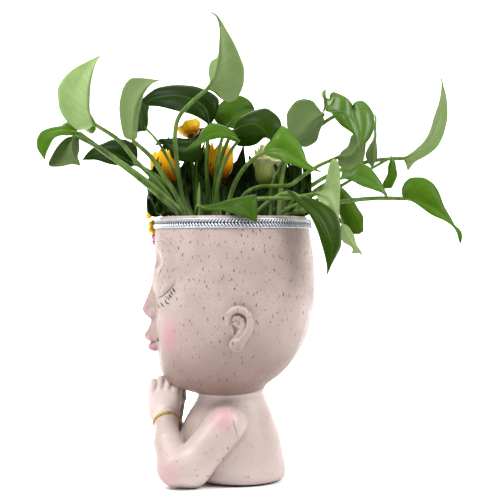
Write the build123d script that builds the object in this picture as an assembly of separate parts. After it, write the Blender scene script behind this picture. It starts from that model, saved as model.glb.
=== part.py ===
from build123d import *
import math
import os

os.makedirs("parts", exist_ok=True)

# Head planter: a hollow head, cut flat at the crown as a pot, carried on a small
# torso with two bent arms. Millimetres, +Z up, the face looks towards -Y and the
# figure's left side towards +X. The origin lies on the floor under the neck.

# ---- driving dimensions ------------------------------------------------------
RIM_Z = 235.7            # floor to rim
NECK_Z = 77.0            # floor to the head's flat underside
WALL = 7.0               # head wall at the rim
POT_FLOOR_Z = 87.0       # floor of the pot's cavity
DRAIN_R = 5.5            # drain hole through the pot's floor
DRAIN_Y = 5.0
PAD_T = 1.5              # foam pad under the torso
PLATE_T = 5.0            # closing plate inside the torso's foot
PLUG_Y = 21.0            # outlet and its rubber plug
PLUG_R = 9.0
PLUG_CLEAR = 0.08
BAND_Z0, BAND_Z1, BAND_PROUD = 225.0, 233.5, 3.0
SOIL_Z = 222.0           # top of the potting soil
SOIL_GAP = 1.0           # all round, at the rim's opening
BLADE_T = 1.1            # leaf blade thickness

# Head, outside: z, centre y, half depth in y, half width in x.
HEAD = [
    (77.0, 10.0, 28.0, 28.0), (80.0, 4.4, 33.7, 34.0), (87.0, -0.5, 44.5, 47.0),
    (95.0, 1.8, 53.1, 56.0), (105.0, 4.7, 59.2, 63.0), (120.0, 8.7, 65.1, 69.0),
    (135.0, 11.4, 68.4, 72.0), (150.0, 12.7, 70.1, 73.5), (165.0, 13.8, 71.7, 74.0),
    (180.0, 13.8, 71.7, 74.0), (195.0, 13.3, 71.3, 73.5), (210.0, 12.1, 70.7, 72.0),
    (225.0, 11.3, 69.3, 69.0), (235.7, 12.4, 66.0, 66.0),
]
# The pot's cavity, inside the head.
CAVITY = [
    (87.0, 1.5, 34.0, 36.0), (95.0, 1.8, 44.5, 47.0), (105.0, 4.7, 51.2, 55.0),
    (120.0, 8.7, 57.6, 61.5), (135.0, 11.4, 61.1, 64.7), (150.0, 12.7, 63.0, 66.4),
    (165.0, 13.8, 64.7, 67.0), (180.0, 13.8, 64.7, 67.0), (195.0, 13.3, 64.3, 66.5),
    (210.0, 12.1, 63.7, 65.0), (225.0, 11.6, 61.9, 62.0), (235.7, 12.4, 59.0, 59.0),
    (240.0, 12.8, 58.4, 58.4),
]
# Torso, outside and inside.
TORSO = [
    (1.5, 17.0, 38.0, 44.5), (4.0, 15.5, 42.5, 48.0), (10.0, 13.25, 45.25, 50.0),
    (20.0, 10.75, 46.75, 50.0), (35.0, 8.75, 45.75, 50.0), (50.0, 8.5, 41.5, 46.0),
    (65.0, 9.75, 34.75, 36.0), (77.0, 10.0, 28.0, 28.0),
]
HOLLOW = [
    (1.5, 17.0, 32.0, 38.5), (4.0, 15.8, 36.0, 41.7), (10.0, 13.25, 39.0, 43.8),
    (20.0, 10.75, 40.5, 44.0), (35.0, 8.75, 39.5, 43.5), (50.0, 8.5, 35.0, 39.5),
    (65.0, 9.75, 28.5, 29.5), (71.0, 10.0, 24.0, 24.0),
]
# Arm joints, the figure's left side: centre and radius.
SHOULDER = ((43.0, 7.8, 53.0), 17.5)
ELBOW = ((51.0, -36.5, 16.3), 15.6)
FOREARM = ((31.0, -43.0, 37.0), 12.0)
WRIST = ((15.0, -48.2, 54.7), 10.3)
# The potting soil, a plug that lifts out through the rim.
SOIL = [
    (87.4, 1.5, 33.2, 35.2), (95.0, 1.8, 43.0, 45.6), (105.0, 4.7, 49.6, 53.4),
    (120.0, 9.6, 55.0, 56.8), (135.0, 12.2, 57.6, 57.8), (222.0, 12.4, 58.0, 58.0),
]

# Leaves: name, joint of blade and stalk, tip, blade width, direction that the
# upper side faces, bow of the blade, foot of the stalk on the soil (x, y), a point
# half way up the stalk, stalk radius.
LEAVES = [
    ("leaf_far_left_high", (30.7, -111.0, 317.6), (39.3, -102.2, 377.1), 50, (-0.7, -0.7, 0.1),
     6, (-2.2, -24.8), (4.4, -76.8, 288.4), 1.7),
    ("leaf_far_left_tip", (11.4, -128.2, 310.4), (31.4, -154.8, 284.2), 42, (0.25, -0.35, 0.9),
     12, (-7.8, -32.2), (12.6, -78.1, 278.7), 1.8),
    ("leaf_far_left_low", (45.6, -125.0, 305.9), (59.9, -119.0, 276.4), 42, (0.8, -0.5, 0.35),
     5, (-1.2, -35.3), (34.3, -68.2, 273.5), 1.7),
    ("leaf_left_dark", (-40.7, -78.8, 291.4), (-26.1, -127.2, 288.6), 44, (0.62, 0.0, 0.78),
     6, (-24.6, -27.9), (-7.9, -46.7, 262.9), 1.4),
    ("leaf_left_upright", (39.6, -75.1, 303.7), (42.8, -51.3, 354.0), 44, (-0.72, -0.6, 0.3),
     12, (4.4, -30.1), (19.5, -53.0, 275.8), 1.6),
    ("leaf_left_inner", (-11.0, -67.4, 314.9), (-78.0, -78.9, 349.1), 34, (0.5, -0.5, 0.7),
     3, (-6.8, -13.4), (-10.9, -53.6, 285.9), 1.3),
    ("leaf_centre_broad", (0.3, -6.3, 321.2), (-20.1, -74.4, 339.4), 50, (-0.42, 0.1, 0.9),
     8, (-27.8, -6.6), (-15.4, -12.3, 278.4), 1.6),
    ("leaf_top_tall", (22.2, -10.2, 347.5), (38.3, -9.7, 413.9), 48, (-0.65, 0.7, 0.1),
     12, (0.5, -14.6), (17.8, -38.6, 296.7), 1.9),
    ("leaf_centre_round", (-27.7, 4.9, 320.0), (-86.8, 28.9, 346.2), 46, (0.55, 0.2, 0.8),
     6, (-20.4, 4.8), (-28.6, -4.1, 280.4), 1.4),
    ("leaf_centre_arch", (14.6, 20.8, 320.8), (42.1, 53.1, 300.9), 42, (0.45, 0.1, 0.88),
     8, (-6.2, -1.2), (-4.2, 0.7, 288.4), 1.6),
    ("leaf_right_round", (-3.6, 92.0, 326.0), (-15.0, 68.9, 306.1), 46, (0.9, 0.1, 0.4),
     4, (-15.4, 57.6), (-40.7, 63.1, 284.4), 1.6),
    ("leaf_right_bud", (-24.1, 102.2, 331.6), (-20.9, 91.9, 352.3), 14, (0.6, -0.6, 0.4),
     3, (-15.3, 44.7), (-35.5, 80.3, 293.1), 1.2),
    ("leaf_right_glossy", (-4.6, 119.1, 337.9), (25.3, 124.1, 296.9), 42, (0.9, 0.0, 0.42),
     8, (-5.0, 51.8), (-19.1, 100.2, 304.1), 1.5),
    ("leaf_centre_fold", (28.4, 37.6, 289.6), (31.4, 89.4, 273.6), 46, (0.6, 0.25, 0.75),
     8, (14.0, 10.6), (5.0, 17.3, 272.9), 1.6),
    ("leaf_right_hang", (-4.9, 107.4, 289.1), (27.8, 120.4, 274.7), 36, (0.85, 0.1, 0.5),
     6, (4.0, 23.8), (0.0, 70.9, 264.7), 1.4),
    ("leaf_right_mid", (22.0, 109.3, 270.6), (26.5, 147.8, 250.1), 34, (0.5, 0.1, 0.85),
     7, (-2.4, 57.5), (-3.4, 88.4, 261.5), 1.4),
    ("leaf_right_vertical", (43.5, 86.2, 255.6), (48.1, 103.3, 231.1), 42, (0.85, -0.35, 0.35),
     4, (12.1, 26.6), (15.6, 62.4, 258.9), 1.5),
    ("leaf_rim_long", (68.2, 72.2, 248.6), (70.2, 91.7, 183.9), 40, (0.8, 0.45, 0.3),
     7, (30.8, 21.7), (24.4, 46.2, 250.3), 1.6),
    ("leaf_rim_short", (-11.4, 109.6, 263.2), (-7.4, 125.7, 221.4), 34, (0.85, 0.3, 0.4),
     6, (3.0, 45.8), (-31.0, 77.9, 252.1), 1.3),
    ("leaf_rim_pale", (8.8, 107.5, 231.0), (17.9, 128.2, 200.7), 26, (-0.7, 0.5, 0.4),
     4, (14.4, 45.4), (15.5, 88.7, 246.6), 1.2),
    ("leaf_far_right_high", (-34.7, 169.3, 288.2), (-55.5, 204.4, 373.0), 44, (-0.75, -0.5, 0.3),
     14, (3.0, 50.9), (-45.9, 117.2, 282.7), 1.6),
    ("leaf_far_right_low", (12.6, 164.3, 251.5), (22.1, 213.7, 212.2), 44, (0.55, 0.3, 0.8),
     8, (-7.1, 27.6), (23.5, 121.9, 250.5), 1.7),
    ("leaf_front_rim", (59.0, -16.0, 242.9), (99.8, 30.3, 231.8), 40, (0.35, -0.1, 0.93),
     3, (22.7, -21.5), (28.3, -21.1, 231.0), 1.4),
    ("leaf_left_low_dark", (-10.7, -20.2, 304.0), (-59.9, -61.5, 303.9), 30, (0.3, 0.1, 0.95),
     5, (-21.7, -9.0), (-35.5, -23.6, 269.6), 1.3),
    ("leaf_centre_bright", (27.9, 19.1, 302.0), (41.1, -31.4, 291.4), 34, (0.5, -0.1, 0.86),
     6, (7.7, 2.3), (1.5, 0.7, 275.6), 1.4),
    ("leaf_right_small", (7.4, 153.2, 288.3), (2.7, 149.2, 260.8), 16, (0.7, 0.5, 0.3),
     4, (7.4, 36.0), (4.7, 118.3, 269.2), 1.2),
]
# Outline of a blade: share of its length, share of its width, one half.
OUTLINE = [
    (0.02, 0.0), (-0.03, 0.10), (-0.09, 0.22), (-0.08, 0.34), (0.0, 0.43),
    (0.14, 0.49), (0.32, 0.50), (0.52, 0.43), (0.70, 0.30), (0.86, 0.14), (1.0, 0.0),
]
# Blossoms of the garland: name, centre, radius, direction it opens, height of its cup.
BLOSSOMS = [
    ("blossom_orange_front", (-36.5, -52.0, 284.0), 14.2, (-0.10, -0.20, 1.0), 34.0),
    ("blossom_orange_side", (-73.4, -3.2, 289.0), 14.8, (-0.10, 0.0, 1.0), 33.0),
    ("blossom_yellow_top", (-60.0, -29.5, 320.0), 8.5, (-0.5, -0.4, 0.8), 12.0),
    ("blossom_cream_back", (-66.6, 46.9, 285.0), 14.6, (-0.10, 0.06, 1.0), 40.0),
    ("blossom_yellow_brow", (-12.0, -62.5, 242.5), 8.8, (-0.25, -1.0, 0.35), 9.0),
    ("blossom_yellow_low", (-21.0, -62.0, 227.0), 6.2, (-0.45, -1.0, 0.0), 6.5),
    ("bud_pink", (-25.0, -58.8, 215.5), 5.2, (-0.5, -1.0, -0.1), 7.0),
]
# The garland's stalk lies on the rim from the brow round the figure's right side.
STALK_R, STALK_RING, STALK_Z = 3.0, 64.0, 238.9
STALK_FROM, STALK_TO = -10.0, 170.0
# Resin leaves of the garland: foot, tip, half width.
SPRIGS = [
    ((4.0, -51.2, 239.5), (17.0, -56.5, 248.5), 5.0),
    ((-24.0, -49.0, 240.0), (-42.0, -66.0, 258.0), 8.5),
    ((-38.0, -40.0, 240.0), (-58.0, -54.0, 264.0), 9.5),
    ((-46.0, -32.0, 240.0), (-72.0, -34.0, 268.0), 10.0),
    ((-58.0, -16.0, 240.0), (-84.0, -14.0, 262.0), 10.0),
    ((-61.0, 6.0, 240.0), (-78.0, 20.0, 278.0), 11.0),
    ((-62.0, 22.0, 240.0), (-84.0, 34.0, 262.0), 10.0),
    ((-56.0, 42.0, 240.0), (-74.0, 58.0, 258.0), 9.0),
    ((-38.0, 62.0, 240.0), (-50.0, 80.0, 258.0), 8.5),
    ((-64.0, -31.0, 303.0), (-64.0, -18.0, 322.0), 6.0),
]


def stack(rows, ruled=False):
    """A closed solid through level ellipses."""
    faces = [Plane.XY.offset(z) * Pos(0, y, 0) * Ellipse(w, d) for z, y, d, w in rows]
    return loft(faces, ruled=ruled)


def ball(centre, r):
    return Pos(*centre) * Sphere(r)


def egg(centre, semi, turn=(0, 0, 0)):
    """An ellipsoid."""
    return Pos(*centre) * Rot(*turn) * scale(Sphere(1.0), by=semi)


def limb(a, ra, b, rb):
    """A tapered round bar between two points."""
    d = Vector(*b) - Vector(*a)
    return Plane(origin=a, z_dir=d.normalized()) * Cone(
        ra, rb, d.length, align=(Align.CENTER, Align.CENTER, Align.MIN)
    )


def solid_of(shape):
    parts = shape.solids()
    return max(parts, key=lambda s: s.volume) if parts else shape


nodes = {}

# ---- head --------------------------------------------------------------------
head_outer = stack(HEAD)
# Features of the face: nose, lips and chin, all symmetric about x = 0.
face = [
    limb((0, -56.5, 168.0), 5.0, (0, -64.0, 151.0), 5.6), ball((0, -64.2, 150.6), 5.9),
    limb((-8.0, -58.0, 149.2), 4.2, (8.0, -58.0, 149.2), 4.3),
    egg((0, -58.5, 128.3), (13.0, 9.4, 4.6)),
    egg((0, -56.0, 119.3), (10.5, 8.7, 4.9)),
]
# One ear on each side, with its hollow.
ear = egg((72.0, 17.7, 139.0), (8.3, 11.9, 20.8))
concha = egg((80.6, 16.8, 140.5), (4.6, 5.6, 11.5))
ears = [ear - concha, mirror(ear - concha, about=Plane.YZ)]
head_full = head_outer
for piece in face + ears:
    head_full = solid_of(head_full + piece)
cavity = stack(CAVITY)
drain = Pos(0, DRAIN_Y, NECK_Z - 5) * Cylinder(
    DRAIN_R, 30, align=(Align.CENTER, Align.CENTER, Align.MIN)
)
nodes["head_pot"] = solid_of(head_full - cavity - drain)

# ---- torso, closing plate, pad, plug -----------------------------------------
torso_outer = stack(TORSO)
hollow = stack(HOLLOW)
nodes["torso_shell"] = solid_of(torso_outer - hollow - drain)
slab = Pos(0, 0, PAD_T) * Box(
    200, 200, PLATE_T, align=(Align.CENTER, Align.CENTER, Align.MIN)
)
outlet = Pos(0, PLUG_Y, 0) * Cylinder(
    PLUG_R, 20, align=(Align.CENTER, Align.CENTER, Align.MIN)
)
nodes["base_plate"] = solid_of((hollow & slab) - outlet)
pad_hole = Pos(0, PLUG_Y, -1) * Cylinder(
    12.5, 5, align=(Align.CENTER, Align.CENTER, Align.MIN)
)
pad = extrude(Pos(0, 17.0, 0) * Ellipse(41.5, 35.0), PAD_T) - pad_hole
nodes["base_pad"] = solid_of(pad)
stem = Pos(0, PLUG_Y, 1.2) * Cone(
    PLUG_R - PLUG_CLEAR, PLUG_R - 0.6, 7.3, align=(Align.CENTER, Align.CENTER, Align.MIN)
)
flange = Pos(0, PLUG_Y, 0.3) * Cylinder(
    11.2, 1.1, align=(Align.CENTER, Align.CENTER, Align.MIN)
)
pull = Pos(0, PLUG_Y, 8.4) * Cylinder(
    4.0, 1.6, align=(Align.CENTER, Align.CENTER, Align.MIN)
)
nodes["drain_plug"] = solid_of(stem + flange + pull)

# ---- arms, hands, bracelets --------------------------------------------------
(s, rs), (e, re), (f, rf), (w, rw) = SHOULDER, ELBOW, FOREARM, WRIST
bars = [
    limb(s, rs, e, re), ball(s, rs * 1.01), ball(e, re * 1.01),
    limb(e, re - 0.4, f, rf), ball(f, rf * 1.01), limb(f, rf, w, rw), ball(w, rw * 1.02),
]
palm = [
    limb((8.6, -55.0, 62.0), 8.1, (8.4, -56.5, 79.0), 7.6), ball((8.4, -56.5, 79.0), 7.9),
    limb((8.6, -46.0, 62.0), 8.2, (8.4, -46.5, 79.0), 7.4), ball((8.4, -46.5, 79.0), 7.7),
]
fingers = [
    limb((14.5, y, z - 7.5), 3.5, (0.5, y, z), 3.4) + ball((14.5, y, z - 7.5), 3.6)
    for y, z in ((-60.0, 82.0), (-54.0, 86.5), (-47.5, 87.5), (-41.5, 84.5))
]
near_side = Pos(0.1, 0, -50) * Box(
    400, 400, 400, align=(Align.MIN, Align.CENTER, Align.MIN)
)
above_floor = Pos(0, 0, 0.4) * Box(
    400, 400, 300, align=(Align.CENTER, Align.CENTER, Align.MIN)
)
arm = bars[0]
for piece in bars[1:] + palm + fingers:
    arm = solid_of(arm + piece)
for cut in (torso_outer, head_outer):
    arm = solid_of(arm - cut)
arm = solid_of(solid_of(arm & above_floor) & near_side)
axis = (Vector(*w) - Vector(*f)).normalized()
ring = Plane(origin=Vector(*f) + (Vector(*w) - Vector(*f)) * 0.85, z_dir=axis) * Torus(
    12.45, 1.75
)
nodes["left_arm"] = arm
nodes["right_arm"] = mirror(arm, about=Plane.YZ)
nodes["left_bracelet"] = ring
nodes["right_bracelet"] = mirror(ring, about=Plane.YZ)

# ---- headband ----------------------------------------------------------------
band = stack([
    (BAND_Z0, 11.3, 69.3 + BAND_PROUD, 69.0 + BAND_PROUD),
    (BAND_Z1, 12.1, 66.8 + BAND_PROUD, 66.8 + BAND_PROUD),
], ruled=True)
nodes["headband"] = solid_of(band - head_outer - cavity)

# ---- garland -----------------------------------------------------------------
def square_to(direction):
    """Two directions square to one another and to the first, and the first."""
    d = Vector(*direction).normalized()
    side = Vector(0, 0, 1) if abs(d.Z) < 0.9 else Vector(1, 0, 0)
    x = (side - d * side.dot(d)).normalized()
    return Plane(origin=(0, 0, 0), x_dir=x, z_dir=d)


def blossom(centre, r, direction, height):
    """Petals round a core, opening along the given direction."""
    base = square_to(direction)
    frame = Plane(origin=centre, x_dir=base.x_dir, z_dir=base.z_dir)
    shape = frame * egg((0, 0, -0.12 * height), (0.55 * r, 0.55 * r, 0.42 * height))
    for k in range(6):
        petal = Rot(0, 0, 60.0 * k) * Pos(0.52 * r, 0, 0.02 * height) * Rot(0, 14, 0)
        petal = petal * scale(Sphere(1.0), by=(0.34 * r, 0.46 * r, 0.47 * height))
        shape = solid_of(shape + frame * petal)
    return shape


def posy(centre, r, direction):
    """A small round flower of balls, flat on the head."""
    base = square_to(direction)
    frame = Plane(origin=centre, x_dir=base.x_dir, z_dir=base.z_dir)
    shape = frame * Sphere(0.62 * r)
    for k in range(5):
        petal = Rot(0, 0, 72.0 * k + 11.0) * Pos(0.56 * r, 0, -0.05 * r) * Sphere(0.41 * r)
        shape = solid_of(shape + frame * petal)
    return shape


for name, centre, r, direction, height in BLOSSOMS:
    if height < 10.0:
        bloom = posy(centre, r, direction)
    else:
        bloom = blossom(centre, r, direction, height)
    if centre[2] < 260:
        bloom = bloom - head_outer - band - stack(
            [(233.4, 12.4, 66.2, 66.2), (235.8, 12.4, 66.2, 66.2)], ruled=True
        )
    nodes[name] = solid_of(bloom)

profile = Plane(origin=(0, 0, 0), x_dir=(1, 0, 0), z_dir=(0, 1, 0)) * Pos(STALK_RING, 0) * Circle(STALK_R)
stalk = revolve(profile, axis=Axis.Z, revolution_arc=STALK_TO - STALK_FROM)
# The profile starts on +X; turned so that the arc runs from the brow over -X.
stalk = Pos(0, 12.4, STALK_Z) * Rot(0, 0, -90.0 - STALK_TO) * stalk
foliage = stalk
for foot, tip, half in SPRIGS:
    a, b = Vector(*foot), Vector(*tip)
    d = b - a
    out = Vector(foot[0], foot[1] - 12.4, 0).normalized()
    along = d.normalized()
    up = (out - along * out.dot(along)).normalized()
    frame = Plane(origin=(a + b) * 0.5, x_dir=along, z_dir=up)
    foliage = foliage + frame * scale(Sphere(1.0), by=(d.length * 0.5 + 2.0, half, 1.5))
for name, centre, r, direction, height in BLOSSOMS:
    if height < 10.0:
        continue
    c = Vector(*centre) - Vector(*direction).normalized() * 0.35 * height
    flat = Vector(centre[0], centre[1] - 12.4, 0).normalized() * STALK_RING
    foot = Vector(flat.X, flat.Y + 12.4, STALK_Z)
    foliage = foliage + limb(tuple(foot), 2.6, tuple(c), 1.9)
for name, *_ in BLOSSOMS:
    foliage = foliage - nodes[name]
foliage = foliage - stack([(225.0, 11.3, 72.4, 72.1), (233.6, 12.1, 69.9, 69.9)], ruled=True)
foliage = foliage - Pos(0, 0, RIM_Z - 40) * Box(
    400, 400, 40, align=(Align.CENTER, Align.CENTER, Align.MIN)
)
nodes["garland_foliage"] = solid_of(foliage)

# ---- planting: root ball and leaves ------------------------------------------
nodes["potting_soil"] = stack(SOIL, ruled=True)
under_soil = Pos(0, 0, SOIL_Z - 60) * Box(
    400, 400, 60, align=(Align.CENTER, Align.CENTER, Align.MIN)
)


def leaf(base, tip, width, facing, bow, foot, middle, r):
    """A bowed blade and its stalk, which ends close under the blade."""
    b, t = Vector(*base), Vector(*tip)
    length = (t - b).length
    along = (t - b).normalized()
    up = Vector(*facing)
    up = (up - along * up.dot(along)).normalized()
    frame = Plane(origin=b, x_dir=along, z_dir=up)
    radius = length * length / (8.0 * bow) + bow / 2.0
    centre = Pos(length / 2, 0, bow - radius) * Rot(90, 0, 0)
    sheet = centre * (Cylinder(radius + BLADE_T / 2, width * 1.3)
                      - Cylinder(radius - BLADE_T / 2, width * 1.3))
    right = [(x * length, y * width) for x, y in OUTLINE]
    left = [(x, -y) for x, y in reversed(right)]
    heart = Polyline(*right, *left[1:-1], close=True)
    depth = bow + 0.2 * length + 4.0
    prism = extrude(Pos(0, 0, -depth) * make_face(heart), depth + bow + 4.0)
    blade = solid_of(sheet & prism)
    end = b - along * 1.5 - up * (r + 1.2)
    path = ThreePointArc((foot[0], foot[1], SOIL_Z - 2.5), middle, tuple(end))
    stalk = sweep((path ^ 0) * Circle(r), path=path) - under_soil
    return [frame * blade, solid_of(stalk)]


for name, *rest in LEAVES:
    nodes[name] = Compound(children=leaf(*rest))
nodes["leaf_rolled"] = solid_of(
    limb((9.0, -21.0, SOIL_Z), 2.6, (8.0, -18.5, 267.0), 0.7) - under_soil
)

for name, shape in nodes.items():
    export_step(shape, f"parts/{name}.step")
    print(name, round(shape.volume), shape.is_valid)
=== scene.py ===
import math

import bpy
import numpy as np
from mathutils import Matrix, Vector


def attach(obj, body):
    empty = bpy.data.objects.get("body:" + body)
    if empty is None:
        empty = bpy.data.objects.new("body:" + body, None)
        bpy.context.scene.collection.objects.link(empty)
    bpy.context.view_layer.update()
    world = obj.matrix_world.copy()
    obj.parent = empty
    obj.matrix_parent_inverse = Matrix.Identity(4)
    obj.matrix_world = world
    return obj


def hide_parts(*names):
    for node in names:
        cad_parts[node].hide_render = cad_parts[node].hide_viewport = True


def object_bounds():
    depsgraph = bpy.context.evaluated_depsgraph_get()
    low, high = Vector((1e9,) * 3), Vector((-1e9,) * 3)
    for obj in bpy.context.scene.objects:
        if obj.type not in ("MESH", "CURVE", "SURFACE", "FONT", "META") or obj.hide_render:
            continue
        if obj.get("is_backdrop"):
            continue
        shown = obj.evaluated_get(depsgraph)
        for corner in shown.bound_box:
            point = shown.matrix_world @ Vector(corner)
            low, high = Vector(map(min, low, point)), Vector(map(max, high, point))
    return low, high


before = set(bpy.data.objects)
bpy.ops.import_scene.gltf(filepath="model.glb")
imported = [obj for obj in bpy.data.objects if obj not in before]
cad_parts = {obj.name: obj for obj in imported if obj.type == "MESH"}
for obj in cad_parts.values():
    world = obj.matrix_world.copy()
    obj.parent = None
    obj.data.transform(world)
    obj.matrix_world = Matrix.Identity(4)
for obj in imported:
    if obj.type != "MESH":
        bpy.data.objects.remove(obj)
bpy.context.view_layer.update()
PI = math.pi

# Lengths below are millimetres in the CAD's frame (floor at z = 0, the face looks
# towards -Y, the figure's left side is +X); meshes are written in metres.

# ---- camera and lights ---------------------------------------------------------


def camera():
    cam = bpy.data.cameras.new("camera")
    cam.lens, cam.sensor_width, cam.sensor_fit = 104.0, 36.0, "HORIZONTAL"
    cam.clip_start, cam.clip_end = 0.05, 50.0
    o = bpy.data.objects.new("camera", cam)
    bpy.context.scene.collection.objects.link(o)
    o.location = (1.300, 0.027, 0.206)
    o.rotation_euler = (PI / 2, 0.0, PI / 2)
    bpy.context.scene.camera = o


def area(name, at, to, size, power, colour=(1, 1, 1), size_y=None):
    l = bpy.data.lights.new(name, "AREA")
    l.energy, l.color, l.size = power, colour, size
    if size_y:
        l.shape, l.size_y = "RECTANGLE", size_y
    o = bpy.data.objects.new(name, l)
    bpy.context.scene.collection.objects.link(o)
    o.location = at
    o.rotation_euler = (Vector(to) - Vector(at)).to_track_quat("-Z", "Y").to_euler()


# ---- node helpers ---------------------------------------------------------------


def lin(c):
    """sRGB 0-255 to linear RGBA."""
    c = [v / 255.0 for v in c[:3]]
    return tuple(v / 12.92 if v <= 0.04045 else ((v + 0.055) / 1.055) ** 2.4 for v in c) + (1.0,)


class Mat:
    """A small builder for a procedural material round one Principled shader."""

    def __init__(self, name):
        self.m = bpy.data.materials.new(name)
        self.m.use_nodes = True
        self.t = self.m.node_tree
        self.p = self.t.nodes["Principled BSDF"]
        self._pos = None

    def node(self, kind, **props):
        n = self.t.nodes.new(kind)
        for k, v in props.items():
            setattr(n, k, v)
        return n

    def link(self, a, b):
        self.t.links.new(a, b)

    def put(self, socket, value):
        if hasattr(value, "is_linked") or isinstance(value, bpy.types.NodeSocket):
            self.link(value, socket)
        else:
            socket.default_value = value

    def pos(self):
        if self._pos is None:
            self._pos = self.node("ShaderNodeTexCoord").outputs["Object"]
        return self._pos

    def scaled(self, v, offset=(0, 0, 0)):
        n = self.node("ShaderNodeMapping")
        self.link(self.pos(), n.inputs["Vector"])
        n.inputs["Scale"].default_value = v
        n.inputs["Location"].default_value = offset
        return n.outputs[0]

    def shift(self, vec, offset):
        n = self.node("ShaderNodeMapping")
        self.link(vec, n.inputs["Vector"])
        n.inputs["Location"].default_value = offset
        return n.outputs[0]

    def attr(self, name):
        return self.node("ShaderNodeAttribute", attribute_name=name).outputs["Fac"]

    def noise(self, scale, detail=3.0, rough=0.5, vec=None, dist=0.0):
        n = self.node("ShaderNodeTexNoise")
        self.link(vec or self.pos(), n.inputs["Vector"])
        n.inputs["Scale"].default_value = scale
        n.inputs["Detail"].default_value = detail
        n.inputs["Roughness"].default_value = rough
        n.inputs["Distortion"].default_value = dist
        return n.outputs["Fac"]

    def voronoi(self, scale, vec=None, feature="F1", out="Distance", rand=1.0):
        n = self.node("ShaderNodeTexVoronoi", feature=feature)
        self.link(vec or self.pos(), n.inputs["Vector"])
        n.inputs["Scale"].default_value = scale
        n.inputs["Randomness"].default_value = rand
        return n.outputs[out]

    def map(self, v, a, b, c=0.0, d=1.0, smooth=True):
        n = self.node("ShaderNodeMapRange")
        n.interpolation_type = "SMOOTHSTEP" if smooth else "LINEAR"
        self.put(n.inputs["Value"], v)
        for k, x in zip(("From Min", "From Max", "To Min", "To Max"), (a, b, c, d)):
            self.put(n.inputs[k], x)
        return n.outputs["Result"]

    def math(self, op, a, b=0.0, clamp=False):
        n = self.node("ShaderNodeMath", operation=op, use_clamp=clamp)
        self.put(n.inputs[0], a)
        self.put(n.inputs[1], b)
        return n.outputs[0]

    def mix(self, fac, a, b, mode="MIX"):
        n = self.node("ShaderNodeMix", data_type="RGBA", blend_type=mode)
        self.put(n.inputs[0], fac)
        self.put(n.inputs[6], a)
        self.put(n.inputs[7], b)
        return n.outputs[2]

    def bump(self, height, distance, strength=1.0, normal=None):
        n = self.node("ShaderNodeBump")
        n.inputs["Strength"].default_value = strength
        n.inputs["Distance"].default_value = distance
        self.link(height, n.inputs["Height"])
        if normal is not None:
            self.link(normal, n.inputs["Normal"])
        return n.outputs[0]

    def set(self, **values):
        names = {
            "color": "Base Color", "rough": "Roughness", "metal": "Metallic",
            "normal": "Normal", "sss": "Subsurface Weight", "sss_scale": "Subsurface Scale",
            "sss_radius": "Subsurface Radius", "spec": "Specular IOR Level",
            "coat": "Coat Weight", "coat_rough": "Coat Roughness",
            "transmission": "Transmission Weight", "ior": "IOR",
        }
        for k, v in values.items():
            self.put(self.p.inputs[names[k]], v)
        return self.m


def skin_material():
    m = Mat("painted_skin")
    base = m.mix(m.map(m.noise(38.0, 3.0), 0.3, 0.72), lin((165, 146, 140)), lin((178, 160, 154)))
    fine = m.noise(650.0, 2.0)
    base = m.mix(m.map(fine, 0.35, 0.7, 0.0, 0.35), base, lin((156, 134, 125)))
    # Painted light: 'pale' lightens the skin where the figure should look more brightly lit.
    base = m.mix(m.attr("pale"), base, lin((228, 212, 207)))
    # Cast pits: short upright strokes, closer together on the upper head. They are laid out
    # round the upright axis, so that each cell of the pattern meets the surface once.
    z = m.node("ShaderNodeSeparateXYZ")
    m.link(m.pos(), z.inputs[0])
    high = m.map(z.outputs["Z"], 0.10, 0.20)
    turn = m.math("ARCTAN2", m.math("SUBTRACT", z.outputs["Y"], 0.0124), z.outputs["X"])
    wrap = m.node("ShaderNodeCombineXYZ")
    m.link(m.math("MULTIPLY", turn, 0.070), wrap.inputs[0])
    m.link(m.math("MULTIPLY", z.outputs["Z"], 0.42), wrap.inputs[1])
    masks = []
    for scale, size, off in ((126.0, 0.088, 0.0), (160.0, 0.088, 3.1), (215.0, 0.088, 7.3)):
        v = m.node("ShaderNodeTexVoronoi", feature="F1", voronoi_dimensions="2D")
        m.link(m.shift(wrap.outputs[0], (off, off * 0.7, 0.0)), v.inputs["Vector"])
        v.inputs["Scale"].default_value = scale
        pick = m.node("ShaderNodeSeparateColor")
        m.link(v.outputs["Color"], pick.inputs[0])
        limit = m.map(high, 0.0, 1.0, 0.30, 0.72, smooth=False)
        keep = m.math("LESS_THAN", pick.outputs[0], limit)
        grow = m.map(pick.outputs[1], 0.0, 1.0, size * 0.55, size * 1.35)
        far = m.math("DIVIDE", v.outputs["Distance"], grow)
        dot = m.map(far, 1.0, 0.4)
        masks.append(m.math("MULTIPLY", m.math("MULTIPLY", dot, keep), m.map(pick.outputs[2], 0.0, 1.0, 0.45, 1.0)))
    pit = m.math("MAXIMUM", m.math("MAXIMUM", masks[0], masks[1]), masks[2])
    pit = m.math("MULTIPLY", pit, m.math("SUBTRACT", 1.0, m.attr("smooth"), clamp=True))
    col = m.mix(m.math("MULTIPLY", m.attr("blush"), 0.92), base, lin((190, 130, 148)))
    # Painted shade: a brown darkening laid where shade falls, in creases and hollows and on sides turned away from the
    # light.
    col = m.mix(m.math("MULTIPLY", m.attr("painted_shade"), 0.85), col, lin((98, 66, 54)))
    col = m.mix(m.math("MULTIPLY", pit, 0.82), col, lin((84, 60, 50)))
    rough = m.map(m.noise(120.0, 2.0), 0.3, 0.7, 0.36, 0.5)
    rough = m.math("ADD", rough, m.math("MULTIPLY", pit, 0.25))
    n = m.bump(m.math("SUBTRACT", 1.0, pit), 0.0007, 0.9)
    n = m.bump(m.noise(420.0, 3.0), 0.0004, 0.16, n)
    n = m.bump(m.noise(70.0, 2.0), 0.0016, 0.16, n)
    return m.set(color=col, rough=rough, normal=n, spec=0.34, sss=0.05, sss_scale=0.0025,
                 sss_radius=(1.0, 0.45, 0.3))


# ---- meshing --------------------------------------------------------------------


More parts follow.
